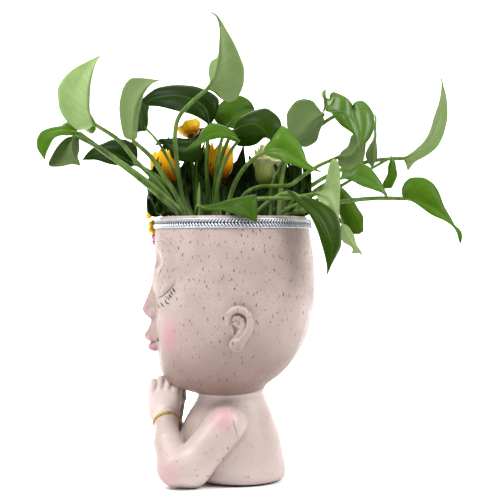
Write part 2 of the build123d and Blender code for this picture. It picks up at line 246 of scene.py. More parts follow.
def make(name, verts, faces, material, body, node=None, slot=None, attrs=None, extra=None,
         smooth=True, materials=None, face_mats=None):
    """A mesh object from vertices in millimetres and arrays of quads or lists of polygons."""
    verts = np.asarray(verts, np.float64) * 0.001
    groups = [np.asarray(f, np.int32) for f in (faces if isinstance(faces, list) else [faces]) if len(f)]
    me = bpy.data.meshes.new(name)
    loops = [g.ravel() for g in groups]
    totals = [np.full(len(g), g.shape[1], np.int32) for g in groups]
    if extra:
        loops.append(np.concatenate([np.asarray(p, np.int32) for p in extra]))
        totals.append(np.array([len(p) for p in extra], np.int32))
    loops, totals = np.concatenate(loops), np.concatenate(totals)
    starts = np.concatenate([[0], np.cumsum(totals)[:-1]]).astype(np.int32)
    me.vertices.add(len(verts))
    me.vertices.foreach_set("co", verts.astype(np.float32).ravel())
    me.loops.add(len(loops))
    me.loops.foreach_set("vertex_index", loops)
    me.polygons.add(len(totals))
    me.polygons.foreach_set("loop_start", starts)
    me.polygons.foreach_set("loop_total", totals)
    me.polygons.foreach_set("use_smooth", np.full(len(totals), smooth))
    if face_mats is not None:
        me.polygons.foreach_set("material_index", np.asarray(face_mats, np.int32))
    me.update(calc_edges=True)
    me.validate()
    for key, values in (attrs or {}).items():
        a = me.attributes.new(key, "FLOAT", "POINT")
        a.data.foreach_set("value", np.asarray(values, np.float32))
    for mat in materials or [material]:
        me.materials.append(mat)
    o = bpy.data.objects.new(name, me)
    bpy.context.scene.collection.objects.link(o)
    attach(o, body)
    if node:
        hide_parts(*([node] if isinstance(node, str) else node))
    return o


def surface_nets(sdf, lo, hi, h):
    """Quads round the zero level of a distance field, one vertex per crossed cell."""
    lo = np.asarray(lo, float)
    n = [int(math.ceil((b - a) / h)) + 1 for a, b in zip(lo, hi)]
    ax = [lo[i] + h * np.arange(n[i]) for i in range(3)]
    F = np.empty(n, np.float32)
    step = max(1, int(1.2e6 // (n[1] * n[2])))
    Y, Z = np.meshgrid(ax[1], ax[2], indexing="ij")
    for i in range(0, n[0], step):
        xs = ax[0][i:i + step]
        P = np.empty((len(xs), n[1], n[2], 3))
        P[..., 0] = xs[:, None, None]
        P[..., 1], P[..., 2] = Y, Z
        F[i:i + step] = sdf(P.reshape(-1, 3)).reshape(len(xs), n[1], n[2])
    S = F < 0
    c = np.zeros([k - 1 for k in n], np.uint8)
    for dx in (0, 1):
        for dy in (0, 1):
            for dz in (0, 1):
                c += S[dx:n[0] - 1 + dx, dy:n[1] - 1 + dy, dz:n[2] - 1 + dz]
    cells = np.argwhere((c > 0) & (c < 8))
    index = np.full(c.shape, -1, np.int32)
    index[tuple(cells.T)] = np.arange(len(cells))
    corner = np.array([[i, j, k] for i in (0, 1) for j in (0, 1) for k in (0, 1)])
    val = np.stack([F[tuple((cells + o).T)] for o in corner], 1)
    acc, cnt = np.zeros((len(cells), 3)), np.zeros(len(cells))
    for a in range(8):
        for b in range(a + 1, 8):
            if np.abs(corner[a] - corner[b]).sum() != 1:
                continue
            fa, fb = val[:, a], val[:, b]
            m = (fa < 0) != (fb < 0)
            t = np.where(m, fa / np.where(m, fa - fb, 1), 0)
            acc += m[:, None] * (corner[a] + t[:, None] * (corner[b] - corner[a]))
            cnt += m
    V = lo + h * (cells + acc / cnt[:, None])
    quads = []
    for d in range(3):
        e, f = (d + 1) % 3, (d + 2) % 3
        a = [slice(None)] * 3
        b = [slice(None)] * 3
        a[d], b[d] = slice(0, n[d] - 1), slice(1, n[d])
        cross = S[tuple(a)] != S[tuple(b)]
        at = np.argwhere(cross)
        ok = (at[:, e] > 0) & (at[:, f] > 0) & (at[:, e] < n[e] - 1) & (at[:, f] < n[f] - 1)
        at = at[ok]
        inside = S[tuple(at.T)]
        q = []
        for oe, of_ in ((1, 1), (0, 1), (0, 0), (1, 0)):
            k = at.copy()
            k[:, e] -= oe
            k[:, f] -= of_
            q.append(index[tuple(k.T)])
        q = np.stack(q, 1)
        q[~inside] = q[~inside][:, ::-1]
        quads.append(q)
    return V, np.concatenate(quads).astype(np.int32)


def project(V, sdf, rounds=2, most=0.8, eps=0.04):
    for _ in range(rounds):
        d = sdf(V)
        g = np.stack([(sdf(V + e) - d) / eps for e in np.eye(3) * eps], 1)
        move = (d / np.maximum((g * g).sum(1), 0.15))[:, None] * g
        size = np.linalg.norm(move, axis=1)
        V = V - move * np.minimum(1.0, most / np.maximum(size, 1e-9))[:, None]
    return V


def refine(V, quads, chosen):
    """Splits the chosen quads in four; their neighbours take the new points as extra corners."""
    mask = chosen(V[quads].mean(1))
    n = len(V)
    e = np.stack([quads, np.roll(quads, -1, 1)], 2)
    key = np.sort(e, 2)
    code = key[..., 0].astype(np.int64) * n + key[..., 1]
    uniq = np.unique(code[mask])
    mids = (V[uniq // n] + V[uniq % n]) / 2
    where = np.searchsorted(uniq, code)
    where = np.clip(where, 0, len(uniq) - 1)
    has = uniq[where] == code
    mid = n + where
    q = quads[mask]
    m = mid[mask]
    centre = n + len(uniq) + np.arange(len(q))
    V2 = np.concatenate([V, mids, V[q].mean(1)])
    split = np.concatenate([
        np.stack([q[:, k], m[:, k], centre, m[:, k - 1]], 1) for k in range(4)
    ])
    rest = ~mask
    border = rest & has.any(1)
    keep = quads[rest & ~border]
    poly = []
    for row, h, mm in zip(quads[border], has[border], mid[border]):
        p = []
        for k in range(4):
            p.append(int(row[k]))
            if h[k]:
                p.append(int(mm[k]))
        poly.append(p)
    return V2, np.concatenate([keep, split]).astype(np.int32), poly


# ---- distance fields --------------------------------------------------------------


def pchip(x, y, t):
    x, y = np.asarray(x, float), np.asarray(y, float)
    h, s = np.diff(x), np.diff(y) / np.diff(x)
    m = np.zeros_like(y)
    m[0], m[-1] = s[0], s[-1]
    for i in range(1, len(x) - 1):
        if s[i - 1] * s[i] > 0:
            a, b = 2 * h[i] + h[i - 1], h[i] + 2 * h[i - 1]
            m[i] = (a + b) / (a / s[i - 1] + b / s[i])
    i = np.clip(np.searchsorted(x, t, "right") - 1, 0, len(x) - 2)
    u = (t - x[i]) / h[i]
    a = (1 + 2 * u) * (1 - u) ** 2 * y[i] + u * u * (3 - 2 * u) * y[i + 1]
    return a + h[i] * (u * (1 - u) ** 2 * m[i] - u * u * (1 - u) * m[i + 1])


class Stack:
    """Distance to a solid through level ellipses (z, centre y, half depth, half width)."""

    def __init__(self, rows, smooth=3.0):
        rows = np.array(rows, float)
        step = 0.25
        self.z = np.arange(rows[0, 0], rows[-1, 0] + step / 2, step)
        n = int(smooth / step)
        kernel = np.hanning(2 * n + 3)
        kernel /= kernel.sum()
        self.c, self.g = [], []
        for k in (1, 2, 3):
            c = pchip(rows[:, 0], rows[:, k], self.z)
            c = np.convolve(np.pad(c, n + 1, mode="reflect", reflect_type="odd"), kernel, "valid")
            self.c.append(c)
            self.g.append(np.gradient(c, step))

    def at(self, z):
        return [np.interp(z, self.z, c) for c in self.c]

    def __call__(self, P):
        z = P[:, 2]
        y0, s, w = self.at(z)
        dy, ds, dw = [np.interp(z, self.z, g, left=0.0, right=0.0) for g in self.g]
        r, q = P[:, 0] / w, (P[:, 1] - y0) / s
        f = np.sqrt(r * r + q * q) + 1e-6
        gx, gy = r / w / f, q / s / f
        gz = -(r * r * dw / w + q * q * ds / s + q * dy / s) / f
        return (f - 1) / np.sqrt(gx * gx + gy * gy + gz * gz)


def smin(a, b, k):
    h = np.maximum(k - np.abs(a - b), 0.0) / k
    return np.minimum(a, b) - h * h * k * 0.25


def smax(a, b, k):
    h = np.maximum(k - np.abs(a - b), 0.0) / k
    return np.maximum(a, b) + h * h * k * 0.25


def capsule(P, a, b, ra, rb):
    a = np.asarray(a, float)
    ab = np.asarray(b, float) - a
    q = P - a
    t = np.clip(q @ ab / (ab @ ab), 0, 1)
    return np.sqrt(((q - t[:, None] * ab) ** 2).sum(1)) - (ra + t * (rb - ra))


def ellipsoid(P, c, r, axes=None):
    q = P - np.asarray(c, float)
    if axes is not None:
        q = q @ np.asarray(axes, float).T
    r = np.asarray(r, float)
    k0 = np.sqrt(((q / r) ** 2).sum(1))
    k1 = np.sqrt(((q / (r * r)) ** 2).sum(1))
    return k0 * (k0 - 1) / (k1 + 1e-9)


def tube_d(P, points, radii, k=0.0):
    d = None
    for i in range(len(points) - 1):
        s = capsule(P, points[i], points[i + 1], radii[i], radii[i + 1])
        d = s if d is None else (smin(d, s, k) if k else np.minimum(d, s))
    return d


def local(d, P, lo, hi, change):
    """Changes the field only inside a box."""
    i = np.nonzero(
        (P[:, 0] > lo[0]) & (P[:, 0] < hi[0]) & (P[:, 1] > lo[1]) & (P[:, 1] < hi[1])
        & (P[:, 2] > lo[2]) & (P[:, 2] < hi[2])
    )[0]
    if len(i):
        d[i] = change(d[i], P[i])
    return d


def step01(t):
    t = np.clip(t, 0, 1)
    return t * t * (3 - 2 * t)


def unit(v):
    v = np.asarray(v, float)
    return v / np.linalg.norm(v)


HEAD = Stack([
    (77.0, 10.0, 28.0, 28.0), (80.0, 4.4, 33.7, 34.0), (87.0, -0.5, 44.5, 47.0),
    (95.0, 1.8, 53.1, 56.0), (105.0, 4.7, 59.2, 63.0), (120.0, 8.7, 65.1, 69.0),
    (135.0, 11.4, 68.4, 72.0), (150.0, 12.7, 70.1, 73.5), (165.0, 13.8, 71.7, 74.0),
    (180.0, 13.8, 71.7, 74.0), (195.0, 13.3, 71.3, 73.5), (210.0, 12.1, 70.7, 72.0),
    (225.0, 11.3, 69.3, 69.0), (235.7, 12.4, 66.0, 66.0),
])
CAVITY = Stack([
    (87.0, 1.5, 34.0, 36.0), (95.0, 1.8, 44.5, 47.0), (105.0, 4.7, 51.2, 55.0),
    (120.0, 8.7, 57.6, 61.5), (135.0, 11.4, 61.1, 64.7), (150.0, 12.7, 63.0, 66.4),
    (165.0, 13.8, 64.7, 67.0), (180.0, 13.8, 64.7, 67.0), (195.0, 13.3, 64.3, 66.5),
    (210.0, 12.1, 63.7, 65.0), (225.0, 11.6, 61.9, 62.0), (235.7, 12.4, 59.0, 59.0),
    (240.0, 12.8, 58.4, 58.4),
])
TORSO = Stack([
    (0.8, 17.0, 36.8, 43.4), (1.5, 17.0, 38.0, 44.5), (4.0, 15.5, 42.5, 48.0),
    (10.0, 13.25, 45.25, 50.0), (20.0, 10.75, 46.75, 50.0), (35.0, 8.75, 45.75, 50.0),
    (50.0, 8.5, 41.5, 46.0), (65.0, 9.75, 34.75, 36.0), (77.0, 10.6, 28.6, 28.4),
    (85.0, 11.5, 26.5, 24.0),
], smooth=1.2)
HOLLOW = Stack([
    (1.5, 17.0, 32.0, 38.5), (4.0, 15.8, 36.0, 41.7), (10.0, 13.25, 39.0, 43.8),
    (20.0, 10.75, 40.5, 44.0), (35.0, 8.75, 39.5, 43.5), (50.0, 8.5, 35.0, 39.5),
    (65.0, 9.75, 28.5, 29.5), (71.0, 10.0, 24.0, 24.0),
], smooth=1.2)
RIM_Z, POT_FLOOR_Z, DRAIN_R, DRAIN_Y = 235.7, 87.0, 5.5, 5.0

# The lower edge of the closed lid, seen from the front: x, z.
LASH_X = np.array([4.0, 8.0, 14.0, 22.0, 30.0, 40.0, 52.0, 60.0, 70.0])
LASH_Z = np.array([170.5, 168.0, 165.5, 163.9, 165.2, 170.0, 176.8, 181.5, 188.0])


def lash_z(x):
    return pchip(LASH_X, LASH_Z, np.clip(x, LASH_X[0], LASH_X[-1]))


tilt = math.radians(14)
EYE_N = np.array([0.421, -0.907, 0.0])
_t, _b = np.array([0.907, 0.421, 0.0]), np.array([0.0, 0.0, 1.0])
EYE_T = math.cos(tilt) * _t + math.sin(tilt) * _b
EYE_B = -math.sin(tilt) * _t + math.cos(tilt) * _b
EYE_AT = np.array([33.0, -50.4, 177.0]) - 4.2 * EYE_N

# Ear: the rim's tube and the inner fold, (x, y, z) and radius.
HELIX = [(73.6, 8.9, 144.2), (74.8, 8.9, 147.6), (75.2, 9.8, 151.2), (75.8, 12.8, 154.0), (76.2, 17.0, 155.0),
         (76.8, 21.6, 153.8), (77.3, 25.0, 150.0), (77.5, 26.4, 145.2), (77.4, 26.0, 140.4), (77.0, 24.2, 135.6),
         (76.4, 21.4, 131.6), (75.8, 18.6, 128.0)]
HELIX_R = [1.6, 2.5, 2.8, 3.1, 3.3, 3.4, 3.5, 3.5, 3.4, 3.4, 3.5, 3.8]
ANTI = [(75.6, 12.9, 146.8), (76.6, 14.8, 148.5), (77.2, 17.6, 148.2), (77.5, 20.5, 146.2), (77.5, 21.7, 143.0),
        (77.4, 21.2, 139.6), (77.0, 20.1, 136.4), (76.2, 17.3, 133.1)]
ANTI_R = [1.8, 2.1, 2.3, 2.4, 2.4, 2.4, 2.5, 2.6]
NOTCH = [(76.6, 12.2, 141.7), (76.8, 14.8, 138.5), (76.4, 14.2, 135.6), (75.6, 11.7, 132.2)]


def face_features(d, P):
    """The eye sockets, nose, mouth and chin, one half: x is not negative here."""
    # socket under the brow and hollow beside the bridge
    d = smax(d, -ellipsoid(P, (24.5, -57.6, 194.0), (13.0, 6.0, 8.5)), 7.0)
    # nose
    bridge = tube_d(P, [(0, -53.0, 186), (0, -56.5, 172), (0, -60.2, 163), (0, -64.3, 153.3)],
                    [5.0, 5.0, 5.4, 5.6])
    d = smin(d, bridge, 9.0)
    d = smin(d, capsule(P, (0, -61.8, 149.4), (0, -57.0, 149.4), 4.6, 4.8), 3.0)
    d = smin(d, ellipsoid(P, (5.4, -58.6, 149.6), (4.4, 5.0, 4.1)), 2.6)
    d = smax(d, -ellipsoid(P, (3.5, -62.8, 144.8), (1.7, 2.6, 1.5)), 1.0)
    # muzzle, lips, chin
    d = smin(d, ellipsoid(P, (0, -55.0, 131.0), (14.0, 8.6, 12.5)), 5.0)
    d = smin(d, capsule(P, (0, -57.6, 141.0), (0, -60.8, 134.0), 3.0, 3.6), 5.0)
    upper = tube_d(P, [(2.6, -62.7, 129.3), (8.0, -60.2, 128.6), (14.0, -53.6, 126.9)], [5.1, 3.9, 1.7], 2.0)
    d = smin(d, upper, 1.8)
    lower = tube_d(P, [(0, -60.2, 119.2), (4.6, -59.6, 119.4), (12.0, -54.0, 123.2)], [4.6, 4.3, 1.9], 2.0)
    d = smin(d, lower, 1.0)
    groove = tube_d(P, [(0, -66.5, 124.0), (6.0, -63.4, 123.8), (11.5, -57.6, 124.7), (15.6, -52.9, 126.6)],
                    [0.8, 0.9, 0.8, 0.5])
    d = smax(d, -groove, 0.9)
    d = smax(d, -ellipsoid(P, (16.4, -53.2, 126.3), (1.5, 1.6, 1.9)), 2.4)
    d = smax(d, -ellipsoid(P, (0, -61.6, 112.8), (9.0, 3.0, 3.2)), 3.0)
    d = smin(d, ellipsoid(P, (0, -43.7, 104.5), (13.0, 9.4, 8.5)), 4.0)
    return d


def lid_feature(d, P):
    above = P[:, 2] - lash_z(P[:, 0])
    lid = ellipsoid(P, EYE_AT, (23.0, 6.5, 17.5), (EYE_T, EYE_N, EYE_B))
    lid = smax(lid, -above * 0.93, 2.6)
    k = 0.7 + 4.6 * step01(above / 11.0) + 4.0 * step01((24.0 - P[:, 0]) / 12.0)
    d = smin(d, lid, k)
    return d


def ear_feature(d, P):
    e = ellipsoid(P, (73.4, 19.5, 141.5), (3.6, 8.0, 15.4))
    e = smin(e, tube_d(P, HELIX, HELIX_R, 1.5), 1.6)
    e = smin(e, ellipsoid(P, (75.2, 15.5, 125.6), (4.8, 6.5, 6.3)), 2.2)
    # hollow of the ear, then the fold that stands in it
    e = smax(e, -ellipsoid(P, (79.6, 17.0, 144.6), (4.8, 7.4, 8.2)), 1.6)
    e = smin(e, tube_d(P, ANTI, ANTI_R, 1.0), 0.7)
    e = smin(e, tube_d(P, [(75.2, 13.5, 142.5), (76.4, 16.0, 143.7), (76.6, 18.4, 141.7)], [2.1, 2.3, 2.0]), 0.8)
    e = smax(e, -tube_d(P, NOTCH, [1.3, 1.9, 1.8, 0.8]), 1.0)
    return smin(d, e, 1.6)


def head_skin(P):
    Q = P.copy()
    Q[:, 0] = np.abs(Q[:, 0])
    d = HEAD(Q)
    d = local(d, Q, (-1, -90, 90), (52, -34, 214), face_features)
    d = local(d, Q, (2, -90, 155), (66, -20, 206), lid_feature)
    d = local(d, Q, (62, -8, 108), (92, 42, 170), ear_feature)
    return d


def head_solid(P):
    d = head_skin(P)
    d = smax(d, P[:, 2] - RIM_Z, 1.4)
    d = smax(d, 76.2 - P[:, 2], 2.0)
    room = smax(CAVITY(P), POT_FLOOR_Z - P[:, 2], 3.0)
    d = smax(d, -room, 1.4)
    hole = np.hypot(P[:, 0], P[:, 1] - DRAIN_Y) - DRAIN_R
    return smax(d, -hole, 0.6)


# The short hairline on the left shoulder.
CRACK = [(60.6, 11.6, 61.5), (61.6, 12.4, 55.0), (60.8, 14.0, 48.0), (58.4, 15.4, 42.0)]
# Arm and hand of the figure's left side.
ARM = [(43.0, 5.5, 52.4), (50.0, -24.0, 18.6), (50.6, -36.0, 17.7)]
ARM_R = [17.3, 17.0, 16.9]
FORE = [(50.2, -37.0, 18.2), (37.5, -44.6, 37.6), (20.4, -47.4, 54.2), (12.5, -48.2, 60.5)]
FORE_R = [16.4, 11.8, 9.7, 8.8]
FINGERS = [(-59.6, 82.6, 3.8), (-53.2, 85.4, 3.9), (-46.6, 85.0, 3.9), (-40.4, 82.0, 3.6)]


def hand(P):
    d = None
    for y, z, r in FINGERS:
        k = (y + 50) * 0.72 - 49.6
        s = capsule(P, (10.2, k, 60.0), (9.6, y * 0.985 - 0.4, z - 6.4), 6.4, 5.1)
        d = s if d is None else smin(d, s, 4.5)
    d = smin(d, ellipsoid(P, (9.2, -50.2, 66.0), (8.4, 12.6, 11.0)), 4.0)
    for y, z, r in FINGERS:
        f = tube_d(P, [(10.4, y, z - 5.0), (10.2, y, z + 0.6), (4.4, y + 0.5, z + 4.6),
                       (-3.4, y + 1.0, z + 2.0), (-5.8, y + 1.2, z - 2.8)],
                   [r, r, r * 0.9, r * 0.78, r * 0.66], 1.5)
        d = smin(d, f, 0.9)
    # thumb, along the side that faces the figure
    d = smin(d, tube_d(P, [(8.0, -41.0, 64.0), (4.6, -37.8, 73.0), (3.6, -37.2, 80.0)], [4.6, 3.9, 3.2], 1.5), 1.4)
    return d


def arm_left(P):
    d = smin(tube_d(P, ARM, ARM_R, 6.0), tube_d(P, FORE, FORE_R, 4.0), 2.2)
    d = local(d, P, (-22, -84, 34), (40, -20, 110), lambda v, Q: smin(v, hand(Q), 4.0))
    return smax(d, 0.5 - P[:, 2], 1.2)


def arm_right(P):
    Q = P.copy()
    Q[:, 0] = -Q[:, 0]
    Q[:, 1] -= 3.4 * step01((P[:, 2] - 42) / 22)
    return arm_left(Q)


def torso_skin(P):
    d = TORSO(P)
    return smax(d, 1.2 - P[:, 2], 1.0)


def shoulder_k(P):
    return 2.0 + 10.5 * step01((P[:, 2] - 45) / 17)


def body_solid(P):
    """Torso, arms and hands in one casting, let into the head's underside by a millimetre."""
    T, H = torso_skin(P), HEAD(P)
    L, R = arm_left(P), arm_right(P)
    k = shoulder_k(P)
    d = smin(T, np.minimum(L, R), k)
    d = np.where((P[:, 2] > 40) & (np.abs(P[:, 0]) < 16), smin(smin(T, L, k), R, 0.5), d)
    neck = np.maximum(np.maximum(smin(T, H, 5.0), -(H + 0.9)), T - 2.4)
    d = np.maximum(d, -(H + 0.9))
    d = np.where(P[:, 2] > 68, np.minimum(d, neck), d)
    crack = tube_d(P, CRACK, [0.25, 0.45, 0.4, 0.2])
    d = smax(d, -crack, 0.5)
    room = smax(HOLLOW(P), P[:, 2] - 71.0, 3.0)
    return smax(d, -room, 1.0)


# ---- painted tints, painted shade and painted light, kept on the vertices ------------


def blob(V, c, r, power=1.0):
    q = (V - np.asarray(c, float)) / np.asarray(r, float)
    return np.exp(-((q * q).sum(1)) ** power * 1.2)


def head_tints(V):
    W = V.copy()
    W[:, 0] = np.abs(W[:, 0])
    blush = 0.68 * blob(W, (40.0, -43.6, 131.5), (14.0, 12.5, 16.5), 1.8)
    blush = np.maximum(blush, 0.74 * blob(W, (0, -66.5, 156.0), (6.5, 6.0, 9.0), 1.3))
    blush = np.maximum(blush, 0.50 * blob(W, (0, -60.5, 170.0), (6.0, 6.0, 14.0)))
    blush = np.maximum(blush, 0.30 * blob(W, (5, -59.0, 149.0), (7.0, 7.0, 5.0)))
    lips = (ellipsoid(W, (0, -59.5, 128.4), (14.0, 11.0, 4.3)) < 0.0) | (ellipsoid(W, (0, -58, 119.4), (11.5, 9.0, 4.8)) < 0.0)
    soft = np.minimum(ellipsoid(W, (0, -59.5, 127.8), (14.4, 12.0, 4.6)), ellipsoid(W, (0, -58, 119.2), (12.0, 9.4, 5.0)))
    blush = np.maximum(blush, 0.74 * step01((0.9 - soft) / 1.8) * (1 - 0.7 * step01((W[:, 0] - 8.5) / 5.0)))
    # Painted shade in the groove between the lips and in the nostrils.
    groove = tube_d(W, [(0, -66.0, 124.0), (6.0, -63.0, 123.8), (11.5, -57.6, 124.7), (16.0, -52.6, 126.6)], [0.3, 0.3, 0.3, 0.2])
    painted_shade = 0.58 * step01((1.7 - groove) / 1.7)
    nostril = ellipsoid(W, (3.5, -62.8, 144.8), (1.7, 2.6, 1.5))
    painted_shade = np.maximum(painted_shade, 0.6 * step01((1.0 - nostril) / 1.6))
    # Painted shade in a thin band under the edge of the closed lid.
    under = np.abs(W[:, 2] - lash_z(W[:, 0]) + 0.9)
    lid = step01((0.9 - under) / 0.9) * step01((W[:, 0] - 14) / 6) * step01((53 - W[:, 0]) / 4) * (W[:, 1] < -30)
    painted_shade = np.maximum(painted_shade, 0.5 * lid)
    # Painted shade in the hollows and the notch of the ear, and round its back edge.
    deep = tube_d(W, [(76.4, 11.6, 146.6), (76.8, 12.8, 150.0), (77.0, 17.0, 151.4), (77.4, 21.4, 149.6), (77.8, 23.8, 145.4),
                      (77.8, 23.8, 140.4), (77.2, 22.0, 135.6)], [0.2, 0.3, 0.4, 0.4, 0.3, 0.2, 0.1])
    notch = tube_d(W, [(75.4, 12.2, 141.7), (75.4, 14.8, 138.5), (75.2, 14.2, 135.6), (74.8, 11.9, 132.6)], [1.1, 1.5, 1.3, 0.6])
    inner = tube_d(W, [(76, 13.0, 144.6), (76.4, 15.2, 146.2), (76.8, 18.0, 145.4), (77.0, 19.6, 142.4), (76.8, 19.0, 139.0)], [0.2, 0.2, 0.3, 0.3, 0.1])
    out = np.minimum(np.minimum(deep, notch), inner)
    painted_shade = np.maximum(painted_shade, 0.66 * step01((1.5 - out) / 1.7))
    painted_shade = np.maximum(painted_shade, 0.85 * step01((0.9 - notch) / 1.4))
    around = np.abs(ellipsoid(W, (73.5, 17.6, 139.8), (6.0, 12.0, 19.0)))
    painted_shade = np.maximum(painted_shade, 0.24 * step01((2.0 - around) / 2.0) * (W[:, 0] > 66) * step01((W[:, 1] - 9.0) / 5.0))
    # Painted shadow in the eye socket beside the bridge, and a faint painted shade along the fold above the lid.
    sock = blob(W, (20.0, -59.0, 195.5), (8.0, 7.0, 6.5))
    painted_shade = np.maximum(painted_shade, 0.50 * sock)
    fold = tube_d(W, [(30.0, -53.0, 195.6), (37.0, -49.6, 194.2), (44.0, -45.2, 189.6), (49.5, -41.0, 184.6)], [0.2] * 4)
    painted_shade = np.maximum(painted_shade, 0.06 * step01((1.3 - fold) / 1.3))
    # Painted shade on the lower head, which turns away from the light; less of it on the front of the face.
    painted_shade = np.maximum(painted_shade, 0.74 * step01((152.0 - W[:, 2]) / 66.0) * (1 - 0.6 * step01((-48.0 - W[:, 1]) / 8.0)))
    smooth = step01((1.2 - soft) / 1.5)
    smooth = np.maximum(smooth, (W[:, 1] < -40) * step01((165 - W[:, 2]) / 10) * 0.8 * step01((52 - W[:, 0]) / 8))
    # Painted shadow cast by the leaves on the upper back of the head, on the figure's left side.
    painted_shade = np.maximum(painted_shade, 0.12 * blob(V, (70.0, 43.0, 204.0), (40.0, 12.0, 17.0), 1.2))
    return {"blush": blush, "painted_shade": painted_shade, "pale": np.zeros(len(V)), "smooth": smooth}


def body_tints(V):
    W = V.copy()
    W[:, 0] = np.abs(W[:, 0])
    blush = 0.58 * blob(W, (52.0, 3.5, 60.5), (15.0, 11.0, 13.0), 1.5)
    blush = np.maximum(blush, 0.72 * blob(W, (55.0, -42.5, 14.0), (16.0, 12.0, 12.0), 1.3))
    gaps = [(8.6, (a[0] + b[0]) / 2, (a[1] + b[1]) / 2 + 2.2) for a, b in zip(FINGERS, FINGERS[1:])]
    painted_shade = np.zeros(len(V))
    # Painted shade between the fingers.
    for sign, dy in ((1.0, 0.0), (-1.0, 3.4)):
        for c in gaps:
            q = (V - np.array([sign * (c[0] + 2.0), c[1] + dy, c[2] + 0.8])) / np.array([5.0, 1.25, 2.8])
            painted_shade = np.maximum(painted_shade, 0.98 * np.exp(-(q * q).sum(1)))
    # Painted shade in the gap between the two clasped hands.
    painted_shade = np.maximum(painted_shade, 0.8 * step01((2.4 - np.abs(V[:, 0] - 0.0)) / 2.4) * step01((W[:, 2] - 56) / 6) * (V[:, 1] > -62) * (V[:, 1] < -30))
    # Painted shade along the crease where each upper arm meets the torso.
    gap = torso_skin(W) - arm_left(W)
    crease = np.exp(-(gap / 2.6) ** 2) * step01((58.0 - W[:, 2]) / 16.0) * (W[:, 0] > 24)
    painted_shade = np.maximum(painted_shade, 0.40 * crease)
    # Painted shade on the inner side of the right arm and the chest beside it, which face away from the light.
    painted_shade = np.maximum(painted_shade, 0.92 * blob(V, (-24.0, -33.0, 44.0), (34.0, 16.0, 24.0)))
    # Painted light: the body is lighter than the head overall, more towards the base, up the neck where the head's
    # shadow falls, and on the hands.
    pale = 0.20 + 0.12 * step01((32.0 - W[:, 2]) / 26.0) + 0.22 * step01((W[:, 2] - 60.0) / 12.0)
    pale = np.maximum(pale, 0.70 * blob(W, (10.0, -52.0, 72.0), (22.0, 20.0, 24.0), 2.0))
    return {"blush": blush, "painted_shade": painted_shade, "pale": pale, "smooth": np.maximum(np.maximum(0.30, 1.3 * blob(W, (39.0, -46.0, 49.0), (13.0, 13.0, 8.0), 2.0)), step01((58 - np.abs(V[:, 1] + 50)) / 6) * step01((V[:, 2] - 56) / 8) * (V[:, 1] < -30) * 0.6)}


# ---- build -----------------------------------------------------------------------------

camera()
SKIN = skin_material()

h = 1.35
V, Q = surface_nets(head_solid, (-84, -78, 73), (84, 92, 239), h)
V = project(V, head_solid, 2, h * 0.7)
V, Q, N = refine(
    V, Q,
    lambda C: ((C[:, 1] < -26) & (np.abs(C[:, 0]) < 60) & (C[:, 2] > 100) & (C[:, 2] < 206) & (CAVITY(C) > 2))
    | ((np.abs(C[:, 0]) > 63) & (C[:, 1] > -1) & (C[:, 1] < 35) & (C[:, 2] > 114) & (C[:, 2] < 164) & (CAVITY(C) > 2)),
)
V = project(V, head_solid, 2, h * 0.4)
print("head", len(V), len(Q), len(N))
make("head_skin", V, [Q], SKIN, "planter", "head_pot", "painted_resin", head_tints(V), extra=N)

h = 1.2
V, Q = surface_nets(body_solid, (-72, -72, -1), (72, 66, 98), h)
V = project(V, body_solid, 2, h * 0.7)
V, Q, N = refine(V, Q, lambda C: ((np.abs(C[:, 0]) < 34) & (C[:, 1] < -30) & (C[:, 2] > 46)) | ((C[:, 0] > 50) & (C[:, 2] > 38) & (C[:, 1] > 6) & (C[:, 1] < 20) & (C[:, 2] < 64)))
V = project(V, body_solid, 2, h * 0.4)
print("body", len(V), len(Q), len(N))
make("body_skin", V, [Q], SKIN, "planter", ["torso_shell", "left_arm", "right_arm"], "painted_resin",
     body_tints(V), extra=N)

# ---- leaves --------------------------------------------------------------------------------

